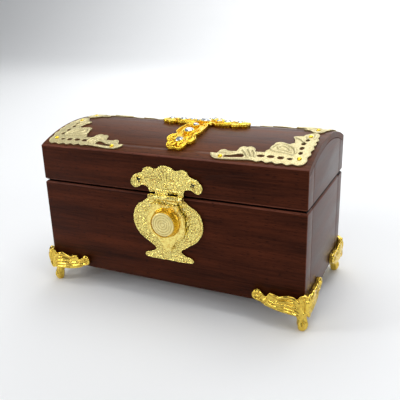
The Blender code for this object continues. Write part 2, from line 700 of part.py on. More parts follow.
def bracket_nails(corner, side_x, side_y):
    for word, frame in bracket_nail_frames(side_x, side_y).items():
        name = "bracket_nail_" + corner + "_" + word
        piece(name, nail(frame, *BRACKET_NAIL), CROSS_GILT, LID_PIVOT, smooth=True)


# ---------------------------------------------------------------- cross on the crown

ARMS = {"right": CROSS_ARM, "back": CROSS_ARM, "left": CROSS_ARM, "front": CROSS_FOOT}

def arm_side(length):
    """One side of an arm in (distance out, half width): waist, leaf swell, side loop and tip loop."""
    unit = length / 45
    wide = sqrt(unit)
    return [(7.5 * unit, 5 * wide, 0.15), (20 * unit, 8.2 * wide, 0.3), (29 * unit, 5.4 * wide, 0.85),
            (38 * unit, 5.6 * wide, 0.75), (43.8 * unit, 1 * wide, 0)]


def cross_outline():
    outline = []
    for quarter, length in enumerate(ARMS.values()):
        side = arm_side(length / MM)
        out = [(x, -y, bulge) for x, y, bulge in side]
        back = [(x, y, bulge) for (x, y, _), (_, _, bulge) in zip(reversed(side), reversed(side[:-1]))]
        back.append((side[0][0], side[0][1], 0.45))
        turn = Matrix.Rotation(quarter * pi / 2, 2)
        for x, y, bulge in out + back:
            spot = turn @ Vector((x, y))
            outline.append((spot.x, spot.y, bulge))
    return arcs(scaled(outline), radians(45))


def cross_holes():
    """Open loops beside and beyond the last crystal of each arm."""
    holes = []
    for quarter, length in enumerate(ARMS.values()):
        unit = length / 45
        turn = Matrix.Rotation(quarter * pi / 2, 2)
        for out, across, radius in ((33.4, 5.8, 1.6), (39.6, 3.0, 1.3)):
            for side in (-1, 1):
                spot = turn @ Vector((out * unit, side * across * sqrt(unit / MM) * MM))
                holes.append(circle(spot.x, spot.y, radius * unit, 6))
    return holes


def cross_place():
    middle = Matrix.Translation((CROSS_X, DOME_ARC / 2 + CROSS_BACK, 0))
    return middle @ Matrix.Rotation(CROSS_TURN, 4, "Z")


def cross():
    flat = moved(plate(cross_outline(), CROSS_THICK, cross_holes()), cross_place())
    piece("cross", wrapped(flat, GAP, 10 * MM), CROSS_GILT, LID_PIVOT)


def crystal(x, y, radius, sides=8):
    """Cut crystal: sloping sides up to a flat table."""
    spot = cross_place() @ Vector((x * MM, y * MM, 0))
    frame = on_dome(spot.x, spot.y, GAP + CROSS_THICK + GAP)
    size = radius * MM
    girdle = 0.4 * MM
    profile = [(0, 0), (size * 0.8, 0), (size, girdle), (size * 0.6, CRYSTAL_RISE), (0, CRYSTAL_RISE)]
    return turned(profile, frame, sides)


def crystals():
    """One stone over the middle and one on the leaf swell of each arm."""
    piece("cross_crystal_centre", crystal(0, 0, 3.9, 12), CRYSTAL, LID_PIVOT)
    for quarter, (word, length) in enumerate(ARMS.items()):
        out = CRYSTAL_OUT * length / MM
        spot = Matrix.Rotation(quarter * pi / 2, 2) @ Vector((out, 0))
        piece("cross_crystal_" + word, crystal(spot.x, spot.y, 2.8), CRYSTAL, LID_PIVOT)


# ---------------------------------------------------------------- lid hinges

def hinge_pockets(side):
    """Mortises in a rim for the two leaves; side is 1 in the lid and -1 in the body."""
    pockets = []
    for x in (-HINGE_X, HINGE_X):
        near = PARTING + side * (LEAF + RIM_GAP / 2 + GAP)
        far = PARTING - side * RIM_GAP
        low = (x - HINGE_LENGTH / 2 - GAP, BACK - LEAF_DEPTH - GAP, min(near, far))
        high = (x + HINGE_LENGTH / 2 + GAP, BACK + GAP, max(near, far))
        pockets.append(block(low, high))
    return merged(pockets)


def screw_frames(side):
    """A countersunk screw in the middle of each leaf, its head level with the rim."""
    frames = {}
    for word, x in (("left", -HINGE_X), ("right", HINGE_X)):
        place = Vector((x, BACK - LEAF_DEPTH / 2, PARTING + side * RIM_GAP / 2))
        frames[word] = Matrix.Translation(place) @ Matrix.Rotation(pi if side > 0 else 0, 4, "X")
    return frames


def screw_profile(grow):
    """Countersunk screw, or with grow the hole that clears it."""
    head = HINGE_SCREW_HEAD + grow
    root = SHANK_RADIUS + grow
    tip = -HINGE_SCREW_LENGTH - grow
    return [(0, tip), (root, tip), (root, -0.9 * MM - grow), (head, 0), (0, 0)]


def screw_holes(side):
    holes = []
    for frame in screw_frames(side).values():
        profile = screw_profile(GAP)
        profile[-1:] = [(HINGE_SCREW_HEAD + GAP, LEAF), (0, LEAF)]
        holes.append(turned(profile, frame))
    return merged(holes)


def hinge_leaf(name, x, side, gaps, pivot):
    """A leaf let into the rim; its barrel on the hinge axis is cut away along the other leaf's knuckles."""
    rim = RIM_GAP / 2
    tip = -HINGE_PROUD - LEAF_DEPTH
    start = pi + asin((rim + LEAF) / HINGE_RADIUS)
    end = 3 * pi + asin(rim / HINGE_RADIUS)
    turns = [start + (end - start) * k / 12 for k in range(13)]
    barrel = [(HINGE_RADIUS * cos(turn), HINGE_RADIUS * sin(turn)) for turn in turns]
    outline = [(tip, -rim - LEAF)] + barrel + [(tip, -rim)]
    if side > 0:
        outline = [(y, -z) for y, z in reversed(outline)]
    bore = circle(0, 0, HINGE_PIN_RADIUS + PIN_FIT, 10)
    stand = Matrix(((0, 0, 1, x - HINGE_LENGTH / 2), (1, 0, 0, HINGE_AXIS.y), (0, 1, 0, HINGE_AXIS.z),
                    (0, 0, 0, 1)))
    made = piece(name, moved(plate(outline, HINGE_LENGTH, [bore]), stand), STEEL, pivot)
    reach = HINGE_RADIUS + GAP
    for start, end in gaps:
        low = (x + start - KNUCKLE_GAP, HINGE_AXIS.y - reach, PARTING - 2 * HINGE_RADIUS)
        high = (x + end + KNUCKLE_GAP, HINGE_AXIS.y + reach, PARTING + 2 * HINGE_RADIUS)
        boolean(made, block(low, high), "DIFFERENCE")
    boolean(made, screw_holes(side), "DIFFERENCE")


def hinges():
    """Two let-in hinges: the body leaf has the outer knuckles and the lid leaf the middle one."""
    sixth = HINGE_LENGTH / 6
    middle = [(-sixth, sixth)]
    outer = [(-HINGE_LENGTH, -sixth), (sixth, HINGE_LENGTH)]
    for word, x in (("left", -HINGE_X), ("right", HINGE_X)):
        hinge_leaf("hinge_body_leaf_" + word, x, -1, middle, None)
        hinge_leaf("hinge_lid_leaf_" + word, x, 1, outer, LID_PIVOT)
        start = HINGE_AXIS + Vector((x - HINGE_LENGTH / 2, 0, 0))
        end = HINGE_AXIS + Vector((x + HINGE_LENGTH / 2, 0, 0))
        piece("hinge_pin_" + word, rod(HINGE_PIN_RADIUS, start, end), STEEL, smooth=True)
    for side, name, pivot in ((-1, "hinge_body_screw_", None), (1, "hinge_lid_screw_", LID_PIVOT)):
        for word, frame in screw_frames(side).items():
            piece(name + word, turned(screw_profile(0), frame, 10), STEEL, pivot)


# ---------------------------------------------------------------- the whole box

long_board("front_panel", FRONT, FRONT + BOARD, "plain")
long_board("back_panel", BACK, BACK - BOARD, "hinged")
end_panel("left_end_panel", -1)
end_panel("right_end_panel", 1)
bottom_panel()
for corner, (corner_x, corner_y) in CORNERS.items():
    foot("foot_" + corner, corner_x, corner_y)
    corner_bracket("corner_bracket_" + corner, corner_x, corner_y)
    bracket_nails(corner, corner_x, corner_y)
catch_plate()
lid_rail("lid_front_rail", FRONT, 1)
lid_rail("lid_back_rail", BACK, -1)
lid_end("lid_left_end", -1)
lid_end("lid_right_end", 1)
lid_top()
cross()
crystals()
latch_plate()
latch_screws()
hasp_pin()
hasp_strap()
button()
hinges()
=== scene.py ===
"""Tabernacle box: a stained wooden casket with gilt feet, latch, openwork corners and a jewelled cross."""

import math

import bpy
from mathutils import Matrix, Vector


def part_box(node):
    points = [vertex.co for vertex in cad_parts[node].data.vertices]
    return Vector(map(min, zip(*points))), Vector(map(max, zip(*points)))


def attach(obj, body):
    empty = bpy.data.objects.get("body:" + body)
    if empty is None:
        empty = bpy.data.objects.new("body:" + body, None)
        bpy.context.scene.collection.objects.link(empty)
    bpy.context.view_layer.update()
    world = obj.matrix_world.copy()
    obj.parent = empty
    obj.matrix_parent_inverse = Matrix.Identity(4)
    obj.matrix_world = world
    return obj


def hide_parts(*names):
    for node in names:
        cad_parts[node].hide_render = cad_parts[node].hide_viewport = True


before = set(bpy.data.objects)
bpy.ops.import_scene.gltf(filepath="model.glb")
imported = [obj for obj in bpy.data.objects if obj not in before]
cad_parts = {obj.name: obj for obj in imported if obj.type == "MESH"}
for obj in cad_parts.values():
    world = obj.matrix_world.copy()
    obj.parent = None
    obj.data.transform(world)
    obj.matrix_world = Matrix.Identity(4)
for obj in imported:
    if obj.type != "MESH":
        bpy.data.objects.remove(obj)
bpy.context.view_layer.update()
MM = 0.001
DOUBLES = 0.002 * MM  # points nearer than this are one point


# ---------------------------------------------------------------- studio
# White paper that sweeps up behind the box, under a big overhead softbox, with weaker ones behind,
# in front and on each side, and a lamp for the backdrop, as a small product is lit on a table.

studio = bpy.context.scene
studio.view_settings.view_transform = "Standard"
world = bpy.data.worlds.new("pale_room")
studio.world = world
world.use_nodes = True
world.node_tree.nodes["Background"].inputs["Color"].default_value = (0.95, 0.97, 1.0, 1)
world.node_tree.nodes["Background"].inputs["Strength"].default_value = 0.2

bpy.ops.object.select_all(action="DESELECT")
bpy.ops.mesh.primitive_plane_add(size=6, location=(0, 0, 0))
floor = bpy.context.object
floor.name = "studio_floor"
bpy.ops.object.mode_set(mode="EDIT")
bpy.ops.mesh.select_mode(type="EDGE")
bpy.ops.mesh.select_all(action="DESELECT")
bpy.ops.object.mode_set(mode="OBJECT")
for edge in floor.data.edges:
    edge.select = all(floor.data.vertices[k].co.y > 2.9 for k in edge.vertices)
bpy.ops.object.mode_set(mode="EDIT")
bpy.ops.transform.translate(value=(0, -1.6, 0))
for step in range(8):
    angle = math.radians(90 * (step + 0.5) / 8)
    sweep = (0, 0.14 * math.cos(angle), 0.14 * math.sin(angle))
    bpy.ops.mesh.extrude_region_move(TRANSFORM_OT_translate={"value": sweep})
bpy.ops.mesh.extrude_region_move(TRANSFORM_OT_translate={"value": (0, 0, 2)})
bpy.ops.object.mode_set(mode="OBJECT")
bpy.ops.object.shade_smooth()
floor_paper = bpy.data.materials.new("matt_white_paper")
floor_paper.use_nodes = True
floor_paper.node_tree.nodes["Principled BSDF"].inputs["Base Color"].default_value = (0.86, 0.87, 0.88, 1)
floor_paper.node_tree.nodes["Principled BSDF"].inputs["Roughness"].default_value = 0.9
floor.data.materials.append(floor_paper)


def softbox(name, place, aim, size, power):
    lamp = bpy.data.lights.new(name, "AREA")
    lamp.shape = "RECTANGLE"
    lamp.size, lamp.size_y = size
    lamp.energy = power
    stand = bpy.data.objects.new(name, lamp)
    stand.location = place
    stand.rotation_euler = (Vector(aim) - Vector(place)).to_track_quat("-Z", "Y").to_euler()
    studio.collection.objects.link(stand)


softbox("overhead_softbox", (0.05, 0.1, 1.0), (0, 0, 0.05), (1.1, 0.8), 7)
softbox("rear_softbox", (0, 1.1, 0.75), (0, 0, 0.1), (1.8, 0.5), 3)
softbox("left_softbox", (-0.9, -0.6, 0.5), (0, 0, 0.05), (0.3, 0.5), 3.6)
softbox("right_softbox", (1.0, -0.4, 0.5), (0, 0, 0.05), (0.35, 0.6), 2.2)
softbox("front_softbox", (-0.1, -1.2, 0.75), (0, 0, 0.06), (0.6, 0.25), 3.2)
softbox("backdrop_light", (0, 0.9, 1.4), (0, 2.2, 0.5), (1.6, 0.4), 26)

lens = bpy.data.cameras.new("camera")
lens.lens = 50.08
lens.sensor_width = 36
camera = bpy.data.objects.new("camera", lens)
camera.matrix_world = (
    Matrix.Translation((0.17744, -0.35566, 0.20463))
    @ Matrix.Rotation(math.radians(25.75), 4, "Z")
    @ Matrix.Rotation(math.radians(90 - 19.60), 4, "X")
    @ Matrix.Rotation(math.radians(-1.826), 4, "Z")
)
studio.collection.objects.link(camera)
studio.camera = camera


# ---------------------------------------------------------------- wooden boards
# The case and the lid are glued up from thin hardwood boards, stained a dark mahogany brown and
# sprayed with satin lacquer. The sander has rubbed their edges, so the stain is paler there.

def linear(code):
    """An sRGB hex colour as linear RGBA."""
    parts = [int(code[start:start + 2], 16) / 255 for start in (1, 3, 5)]
    return (*[part / 12.92 if part <= 0.04045 else ((part + 0.055) / 1.055) ** 2.4 for part in parts], 1)


def add(tree, kind, sockets, **settings):
    """Add a node with its settings; a socket takes a value, or a link from another node's output."""
    made = tree.nodes.new(kind)
    for name, value in settings.items():
        setattr(made, name, value)
    for name, source in sockets.items():
        if isinstance(source, bpy.types.NodeSocket):
            tree.links.new(source, made.inputs[name])
        else:
            made.inputs[name].default_value = source
    return made


def new_material(name):
    made = bpy.data.materials.new(name)
    made.use_nodes = True
    return made, made.node_tree, made.node_tree.nodes["Principled BSDF"]


def stained_wood(name, dark, light, grain, sheen):
    """Satin-lacquered stained hardwood: faint streaks along the grain, short dark pores, a soft
    gloss that stays weak until the surface is seen at a low angle.

    The grain runs along X, or along Y when grain is "Y".
    """
    made, tree, shader = new_material(name)
    spot = tree.nodes.new("ShaderNodeTexCoord").outputs["Object"]

    def stretched(length, across):
        sizes = (length, across, across) if grain == "X" else (across, length, across)
        scale = [1 / (size * MM) for size in sizes]
        return add(tree, "ShaderNodeMapping", {"Vector": spot, "Scale": scale}).outputs["Vector"]

    figure = add(tree, "ShaderNodeTexNoise", {"Vector": stretched(90, 11), "Scale": 1, "Detail": 3})
    streak = add(tree, "ShaderNodeTexNoise", {"Vector": stretched(26, 1.1), "Scale": 1, "Detail": 4,
                                              "Roughness": 0.6})
    pore = add(tree, "ShaderNodeTexNoise", {"Vector": stretched(4.5, 0.42), "Scale": 1, "Detail": 2})
    tone = add(tree, "ShaderNodeMix", {0: 0.45, 2: figure.outputs["Fac"], 3: streak.outputs["Fac"]})
    tint = add(tree, "ShaderNodeValToRGB", {"Fac": tone.outputs[0]})
    tint.color_ramp.elements[0].position = 0.36
    tint.color_ramp.elements[0].color = linear(dark)
    tint.color_ramp.elements[1].position = 0.66
    tint.color_ramp.elements[1].color = linear(light)
    open_pore = add(tree, "ShaderNodeMapRange", {"Value": pore.outputs["Fac"], "From Min": 0.58,
                                                 "From Max": 0.72, "To Min": 0, "To Max": 1})
    shade = add(tree, "ShaderNodeMix", {0: open_pore.outputs["Result"], 6: tint.outputs["Color"],
                                        7: linear("#140705")}, data_type="RGBA")
    gloss = add(tree, "ShaderNodeMapRange", {"Value": figure.outputs["Fac"], "From Min": 0.3,
                                             "From Max": 0.7, "To Min": 0.4, "To Max": 0.52})
    dip = add(tree, "ShaderNodeMath", {0: streak.outputs["Fac"], 1: open_pore.outputs["Result"]},
              operation="SUBTRACT")
    surface = add(tree, "ShaderNodeBump", {"Height": dip.outputs[0], "Strength": 0.25, "Distance": 0.0002})
    tree.links.new(shade.outputs[2], shader.inputs["Base Color"])
    tree.links.new(gloss.outputs["Result"], shader.inputs["Roughness"])
    tree.links.new(surface.outputs["Normal"], shader.inputs["Normal"])
    shader.inputs["Specular IOR Level"].default_value = sheen
    return made


long_wood = stained_wood("mahogany_stained_wood_long_grain", "#2c1208", "#4f2413", "X", 0.05)
# the top's stain is painted paler than the front and back boards' as painted light, for the stronger light the
# top takes
domed_wood = stained_wood("mahogany_polished_top_painted_lighter", "#41200f", "#6e3d22", "X", 0.14)
short_wood = stained_wood("mahogany_stained_wood_cross_grain", "#3b221a", "#643d30", "Y", 0.75)
rubbed_wood = stained_wood("mahogany_stain_rubbed_by_sanding", "#4a2417", "#7a4432", "X", 0.12)
# the rims that meet at the parting line are painted nearly black: painted shade of the gap between case and lid
parting_rim_painted_shade = stained_wood("painted_shade_on_parting_rims", "#0c0503", "#180b07", "X", 0.05)


def new_object(name, data):
    """A new object in the scene, active and the only one selected."""
    bpy.ops.object.select_all(action="DESELECT")
    made = bpy.data.objects.new(name, data)
    studio.collection.objects.link(made)
    made.select_set(True)
    bpy.context.view_layer.objects.active = made
    return made


def copied(node, name):
    """A copy of a CAD node's mesh with its doubles merged and its flat faces whole."""
    made = new_object(name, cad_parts[node].data.copy())
    bpy.ops.object.mode_set(mode="EDIT")
    bpy.ops.mesh.select_all(action="SELECT")
    bpy.ops.mesh.remove_doubles(threshold=DOUBLES)
    bpy.ops.mesh.dissolve_limited(angle_limit=math.radians(0.5))
    bpy.ops.object.mode_set(mode="OBJECT")
    made.data.materials.clear()
    return made


case_low, case_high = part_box("front_panel")
parting = (case_high.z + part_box("lid_front_rail")[0].z) / 2
case_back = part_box("back_panel")[1].y
case_middle = (case_low.y + case_back) / 2


def board(node, name, body, wood):
    """Ease every long sharp edge of a board by a third of a millimetre; show the rubbed stain on it.

    The rims are eased twice as far, which widens the parting line, and their faces take painted shade, nearly
    black, for the shadow in the gap.
    The curved top is glued tight against the lips of the rails, so it keeps sharp edges there.
    The ends of the long boards take the finish of the end boards beside them.
    """
    made = copied(node, name)
    sharp = made.data.attributes.new("bevel_weight_edge", "FLOAT", "EDGE")
    fold = {}
    for face in made.data.polygons:
        for key in face.edge_keys:
            fold.setdefault(key, []).append(face.normal.copy())
    for edge in made.data.edges:
        ends = [made.data.vertices[k].co for k in edge.vertices]
        sides = fold.get(edge.key, [])
        if len(sides) == 2 and sides[0].angle(sides[1]) > 0.35 and (ends[0] - ends[1]).length > 1.2 * MM:
            rim = all(abs(end.z - parting) < 0.3 * MM for end in ends)
            sharp.data[edge.index].value = 1.0 if rim else 0.45
    if node == "lid_top":
        sharp.data.foreach_set("value", [0.0] * len(made.data.edges))
        reach = max(abs(vertex.co.y - case_middle) for vertex in made.data.vertices)
        for vertex in made.data.vertices:
            if abs(vertex.co.y - case_middle) > reach - 0.5 * MM:
                vertex.co.y += math.copysign(0.28 * MM, vertex.co.y - case_middle)
                vertex.co.z -= 0.11 * MM
    ease = made.modifiers.new("eased_edges", "BEVEL")
    ease.width = 0.75 * MM
    ease.segments = 3
    ease.limit_method = "WEIGHT"
    bpy.ops.object.modifier_apply(modifier="eased_edges")
    bpy.ops.object.shade_smooth_by_angle(angle=math.radians(32))
    finishes = {"own": wood, "edge": rubbed_wood, "rim": parting_rim_painted_shade, "end": short_wood}
    for finish in finishes.values():
        made.data.materials.append(finish)
    index = {word: k for k, word in enumerate(finishes)}
    flat = 0.985  # a face whose normal is this near an axis is no eased edge
    if node != "lid_top":
        for face in made.data.polygons:
            if abs(face.normal.x) > flat:
                face.material_index = index["end"]
            if max(abs(part) for part in face.normal) < flat:
                face.material_index = index["edge"]
            # faces at the parting line take the painted shade of the gap
            if abs(face.center.z - parting) < 1.0 * MM:
                face.material_index = index["rim"]
    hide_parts(node)
    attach(made, body)


for node, body, wood in (
    ("front_panel", "box", long_wood), ("back_panel", "box", long_wood), ("bottom_panel", "box", long_wood),
    ("left_end_panel", "box", short_wood), ("right_end_panel", "box", short_wood),
    ("lid_front_rail", "lid", long_wood), ("lid_back_rail", "lid", long_wood), ("lid_top", "lid", domed_wood),
    ("lid_left_end", "lid", short_wood), ("lid_right_end", "lid", short_wood),
):
    board(node, node + "_board", body, wood)


# ---------------------------------------------------------------- corner feet
# Four zinc die castings in bright gilt: acanthus wings against the case, a scroll at each wing's
# end, and a cabriole leg with a ball toe. Ribs and beads are melted into one skin, as in a casting.

def gilt(name, colour, deep, recess, roughness, grit, relief, flecks=1.0):
    """Electroplated gilt over a casting: pale where it is rubbed, redder in flecks the size of the mould's grit,
    which are painted shade of the grit, and brown where it lies sunk, which is painted shade.

    The grit is drawn about twice as coarse as it is, so that it glitters from a distance.
    """
    made, tree, shader = new_material(name)
    spot = tree.nodes.new("ShaderNodeTexCoord").outputs["Object"]
    fine = add(tree, "ShaderNodeMapping", {"Vector": spot, "Scale": [1 / (grit * MM)] * 3})
    cloud = add(tree, "ShaderNodeMapping", {"Vector": spot, "Scale": [1 / (5 * MM)] * 3})
    grain = add(tree, "ShaderNodeTexNoise", {"Vector": fine.outputs["Vector"], "Scale": 1, "Detail": 2})
    patch = add(tree, "ShaderNodeTexNoise", {"Vector": cloud.outputs["Vector"], "Scale": 1, "Detail": 2})
    # painted shade of the grit: the flecks follow the same noise that raises the bump
    speck = add(tree, "ShaderNodeMapRange", {"Value": grain.outputs["Fac"], "From Min": 0.46, "From Max": 0.62,
                                             "To Min": 0, "To Max": flecks})
    uneven = add(tree, "ShaderNodeMath", {0: speck.outputs["Result"], 1: patch.outputs["Fac"]},
                 operation="MULTIPLY")
    plated = add(tree, "ShaderNodeMix", {0: uneven.outputs[0], 6: linear(colour), 7: linear(deep)},
                 data_type="RGBA")
    # painted shade: brown by how far a point lies sunk below the skin around it
    painted_hollow_shade = add(tree, "ShaderNodeAttribute", {}, attribute_name="painted_hollow_shade")
    mixed = add(tree, "ShaderNodeMix", {0: painted_hollow_shade.outputs["Fac"], 6: plated.outputs[2], 7: linear(recess)},
                data_type="RGBA")
    gloss = add(tree, "ShaderNodeMapRange", {"Value": grain.outputs["Fac"], "From Min": 0.3, "From Max": 0.7,
                                             "To Min": roughness - 0.06, "To Max": roughness + 0.1})
    surface = add(tree, "ShaderNodeBump", {"Height": grain.outputs["Fac"], "Strength": relief,
                                           "Distance": 0.0006})
    tree.links.new(mixed.outputs[2], shader.inputs["Base Color"])
    tree.links.new(gloss.outputs["Result"], shader.inputs["Roughness"])
    tree.links.new(surface.outputs["Normal"], shader.inputs["Normal"])
    shader.inputs["Metallic"].default_value = 1
    return made


cast_gilt = gilt("rich_gilt_on_die_cast_feet", "#f2d25c", "#a86c16", "#6c3d0a", 0.17, 1.8, 0.15, 0.7)
bright_gilt = gilt("bright_gilt_on_die_cast_zinc", "#fff08e", "#b4741a", "#6e3f0a", 0.2, 1.1, 0.6)


def hollows(made, full):
    """Mark how far each point lies below the skin around it: 1 where it is full millimetres or more. The gilt
    paints shade by this mark.
    """
    bpy.ops.object.select_all(action="DESELECT")
    soft = bpy.data.objects.new("soft", made.data.copy())
    studio.collection.objects.link(soft)
    bpy.context.view_layer.objects.active = soft
    ease = soft.modifiers.new("ease", "SMOOTH")
    ease.factor = 0.8
    ease.iterations = 16
    bpy.ops.object.modifier_apply(modifier="ease")
    mark = made.data.attributes.new("painted_hollow_shade", "FLOAT", "POINT")
    for vertex in made.data.vertices:
        sunk = (soft.data.vertices[vertex.index].co - vertex.co).dot(vertex.normal) / (full * MM)
        mark.data[vertex.index].value = max(0.0, min(1.0, sunk))
    bpy.data.objects.remove(soft)


def rib(points, radii):
    """A raised rib through points in metres, swelling and tapering by its radii in millimetres."""
    line = bpy.data.curves.new("rib", "CURVE")
    line.dimensions = "3D"
    line.resolution_u = 5
    line.bevel_depth = 1 * MM
    line.bevel_resolution = 2
    line.use_fill_caps = True
    path = line.splines.new("BEZIER")
    path.bezier_points.add(len(points) - 1)
    for knot, point, radius in zip(path.bezier_points, points, radii):
        knot.co = point
        knot.radius = radius
        knot.handle_left_type = knot.handle_right_type = "AUTO"
    new_object("rib", line)
    bpy.ops.object.convert(target="MESH")
    return bpy.context.object


def stroke(place, marks, widest, ends=0.35):
    """A rib through flat (x, y) marks laid on a surface by place; thin at both ends."""
    last = len(marks) - 1
    swell = [ends + (1 - ends) * math.sin(math.pi * (0.15 + 0.7 * k / last)) for k in range(last + 1)]
    return rib([place(x, y) for x, y in marks], [widest * part for part in swell])


def curl(x, y, radius, start, turns):
    """Marks of a scroll that winds inwards from its rim; a negative number of turns winds clockwise."""
    count = max(6, int(abs(turns) * 9))
    marks = []
    for k in range(count + 1):
        part = k / count
        angle = math.radians(start) + 2 * math.pi * turns * part
        reach = radius * (1 - 0.75 * part)
        marks.append((x + reach * math.cos(angle), y + reach * math.sin(angle)))
    return marks


def bead(point, radius):
    bpy.ops.object.select_all(action="DESELECT")
    bpy.ops.mesh.primitive_ico_sphere_add(subdivisions=2, radius=radius * MM, location=point)
    bpy.ops.object.transform_apply(location=True, rotation=True, scale=True)
    return bpy.context.object


def melted(base, parts, voxel, passes):
    """Join ribs and beads to their base and melt them into one cast skin."""
    bpy.ops.object.select_all(action="DESELECT")
    for part in parts:
        part.select_set(True)
    base.select_set(True)
    bpy.context.view_layer.objects.active = base
    bpy.ops.object.join()
    skin = base.modifiers.new("skin", "REMESH")
    skin.mode = "VOXEL"
    skin.voxel_size = voxel * MM
    bpy.ops.object.modifier_apply(modifier="skin")
    soften = base.modifiers.new("soften", "SMOOTH")
    soften.factor = 0.5
    soften.iterations = passes
    bpy.ops.object.modifier_apply(modifier="soften")
    bpy.ops.object.shade_smooth()


def finished(made, finish, body, slot, *nodes):
    made.data.materials.clear()
    made.data.materials.append(finish)
    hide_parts(*nodes)
    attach(made, body)


wing_face = 2.9 * MM  # the ribs' centres, just under the face of a foot's wings


def on_front_wing(reach, height):
    return (case_low.x + reach * MM, case_low.y - wing_face, case_low.z + height * MM)


def on_side_wing(reach, height):
    return (case_low.x - wing_face, case_low.y + reach * MM, case_low.z + height * MM)


def wing_relief(place, fit):
    """Acanthus leaf of one wing: a fan of ribs from the ankle, the end scroll and the rolled edges."""
    marks = [
        ([(1, -4), (9, -3.1), (18, -2), (26, -0.2)], 1.2),
        ([(0.5, -3.4), (6, -1.2), (13, -0.6), (20, -0.4), (26, 1.6)], 1.1),
        ([(0, -2.6), (4.4, 1), (10, 1.8), (17, 1.4), (23, 2.8)], 1.3),
        ([(0, -1.6), (4, 3.4), (9.4, 4.6), (14.6, 3.8), (18, 3.2)], 1.3),
        ([(0.5, -0.5), (4, 5.4), (8.6, 8), (13, 7.4), (17.6, 5.6)], 1.6),
        ([(17, 6.2), (20, 7.4), (22.8, 8.2)], 1.2),
        ([(24.6, 4.4), (27, 2.2), (31.5, 2.4)], 1.15),
        (curl(31.2, 5.8, 3.4, -80, 1.1), 1.15),
    ]
    return [stroke(place, [(x * fit, y) for x, y in line], width) for line, width in marks]


foot_parts = wing_relief(on_front_wing, 1) + wing_relief(on_side_wing, 32 / 35)
for side in (on_front_wing, on_side_wing):
    foot_parts.append(stroke(side, [(-1.6, -0.4), (-2.2, 3), (-2.0, 6.4), (-0.6, 8.6)], 1.3))
    foot_parts.append(stroke(side, [(2.6, 9.2), (0.8, 10.2), (-1.6, 9.8)], 1.2))
    foot_parts.append(stroke(side, [(1.2, 0), (1.6, 4), (2.6, 8)], 1.0))
    foot_parts.append(stroke(side, [(-1.8, -0.6), (-0.6, -2.8), (0.8, -4.8)], 1.4, 0.6))
toe = Vector((case_low.x + 1.4 * MM, case_low.y + 1.4 * MM, 2.9 * MM))
for turn in range(0, 360, 60):
    out = Vector((math.cos(math.radians(turn)), math.sin(math.radians(turn)), 0))
    ankle = toe + out * 2.5 * MM + Vector((0.6, 0.6, 7.0)) * MM
    ball = toe + out * 3.1 * MM + Vector((0, 0, 1.0)) * MM
    tip = toe + out * 1.9 * MM - Vector((0, 0, 1.6)) * MM
    foot_parts.append(rib([ankle, ball, tip], [0.45, 0.75, 0.6]))
first_foot = copied("foot_front_left", "front_left_foot_casting")
melted(first_foot, foot_parts, 0.3, 2)
hollows(first_foot, 0.42)


def mirrored(source, name, over_x, over_y):
    """A copy of a front-left piece for another corner, its faces turned outwards again."""
    bpy.ops.object.select_all(action="DESELECT")
    made = bpy.data.objects.new(name, source.data.copy())
    studio.collection.objects.link(made)
    flip = Matrix.Diagonal((-1 if over_x else 1, -1 if over_y else 1, 1, 1))
    middle = Matrix.Translation((0, case_middle, 0))
    made.data.transform(middle @ flip @ middle.inverted())
    if over_x != over_y:
        made.data.flip_normals()
    return made


corners = (("front_right", True, False), ("back_left", False, True), ("back_right", True, True))
for corner, over_x, over_y in corners:
    made = mirrored(first_foot, corner + "_foot_casting", over_x, over_y)
    finished(made, cast_gilt, "box", "bright_gilt", "foot_" + corner)
finished(first_foot, cast_gilt, "box", "bright_gilt", "foot_front_left")


# ---------------------------------------------------------------- catch plate
# A vase-shaped plate on the body, gilt like the latch plate above it, with a raised border and
# scrolls on a stippled ground. Three small nails hold it.

catch_low, catch_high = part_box("catch_plate")
latch_x = (catch_low.x + catch_high.x) / 2
plate_face = catch_low.y


def on_catch(x, height):
    return (latch_x + x * MM, plate_face + 0.15 * MM, case_low.z + height * MM)


def outlines(node, on_face, flat):
    """The outlines of a plate's face, flattened: closed where they can be, and open at a cut."""
    source = copied(node, "outline")
    fold = {}
    for face in source.data.polygons:
        for key in face.edge_keys:
            fold.setdefault(key, []).append(face.normal.copy())
    ahead = {}
    for edge in source.data.edges:
        sides = fold.get(edge.key, [])
        sharp = len(sides) == 2 and sides[0].angle(sides[1]) > 0.9
        if sharp and all(on_face(source.data.vertices[k].co) for k in edge.vertices):
            first, second = edge.vertices
            ahead.setdefault(first, []).append(second)
            ahead.setdefault(second, []).append(first)
    loops = []
    while ahead:
        here = min(ahead, key=lambda k: (len(ahead[k]), k))
        loop = []
        while here in ahead:
            loop.append(flat(source.data.vertices[here].co))
            left = [k for k in ahead.pop(here) if k in ahead]
            here = left[0] if left else None
        if len(loop) > 3:
            loops.append(loop)
    bpy.data.objects.remove(source)
    return loops


def smooth_paths(name, loops):
    """A curve with a closed smooth path through each loop; a turn past 50 degrees stays sharp."""
    lines = bpy.data.curves.new(name, "CURVE")
    lines.resolution_u = 5
    for loop in loops:
        path = lines.splines.new("BEZIER")
        path.bezier_points.add(len(loop) - 1)
        path.use_cyclic_u = True
        for k, knot in enumerate(path.bezier_points):
            before = loop[k] - loop[k - 1]
            after = loop[(k + 1) % len(loop)] - loop[k]
            knot.co = (loop[k].x, loop[k].y, 0)
            handle = "VECTOR" if before.angle(after, 0) > math.radians(50) else "AUTO"
            knot.handle_left_type = knot.handle_right_type = handle
    return lines


def curve_to_mesh(name, lines):
    new_object(name, lines)
    bpy.ops.object.convert(target="MESH")
    made = bpy.context.object
    bpy.ops.object.mode_set(mode="EDIT")
    bpy.ops.mesh.select_all(action="SELECT")
    bpy.ops.mesh.remove_doubles(threshold=DOUBLES)
    bpy.ops.object.mode_set(mode="OBJECT")
    return made


def sheet(name, loops, thick):
    """A flat sheet between its outer edge and its holes, from Z = 0 up to its thickness."""
    lines = smooth_paths(name, loops)
    lines.dimensions = "2D"
    lines.fill_mode = "BOTH"
    lines.extrude = thick / 2 * MM
    made = curve_to_mesh(name, lines)
    made.data.transform(Matrix.Translation((0, 0, thick / 2 * MM)))
    return made


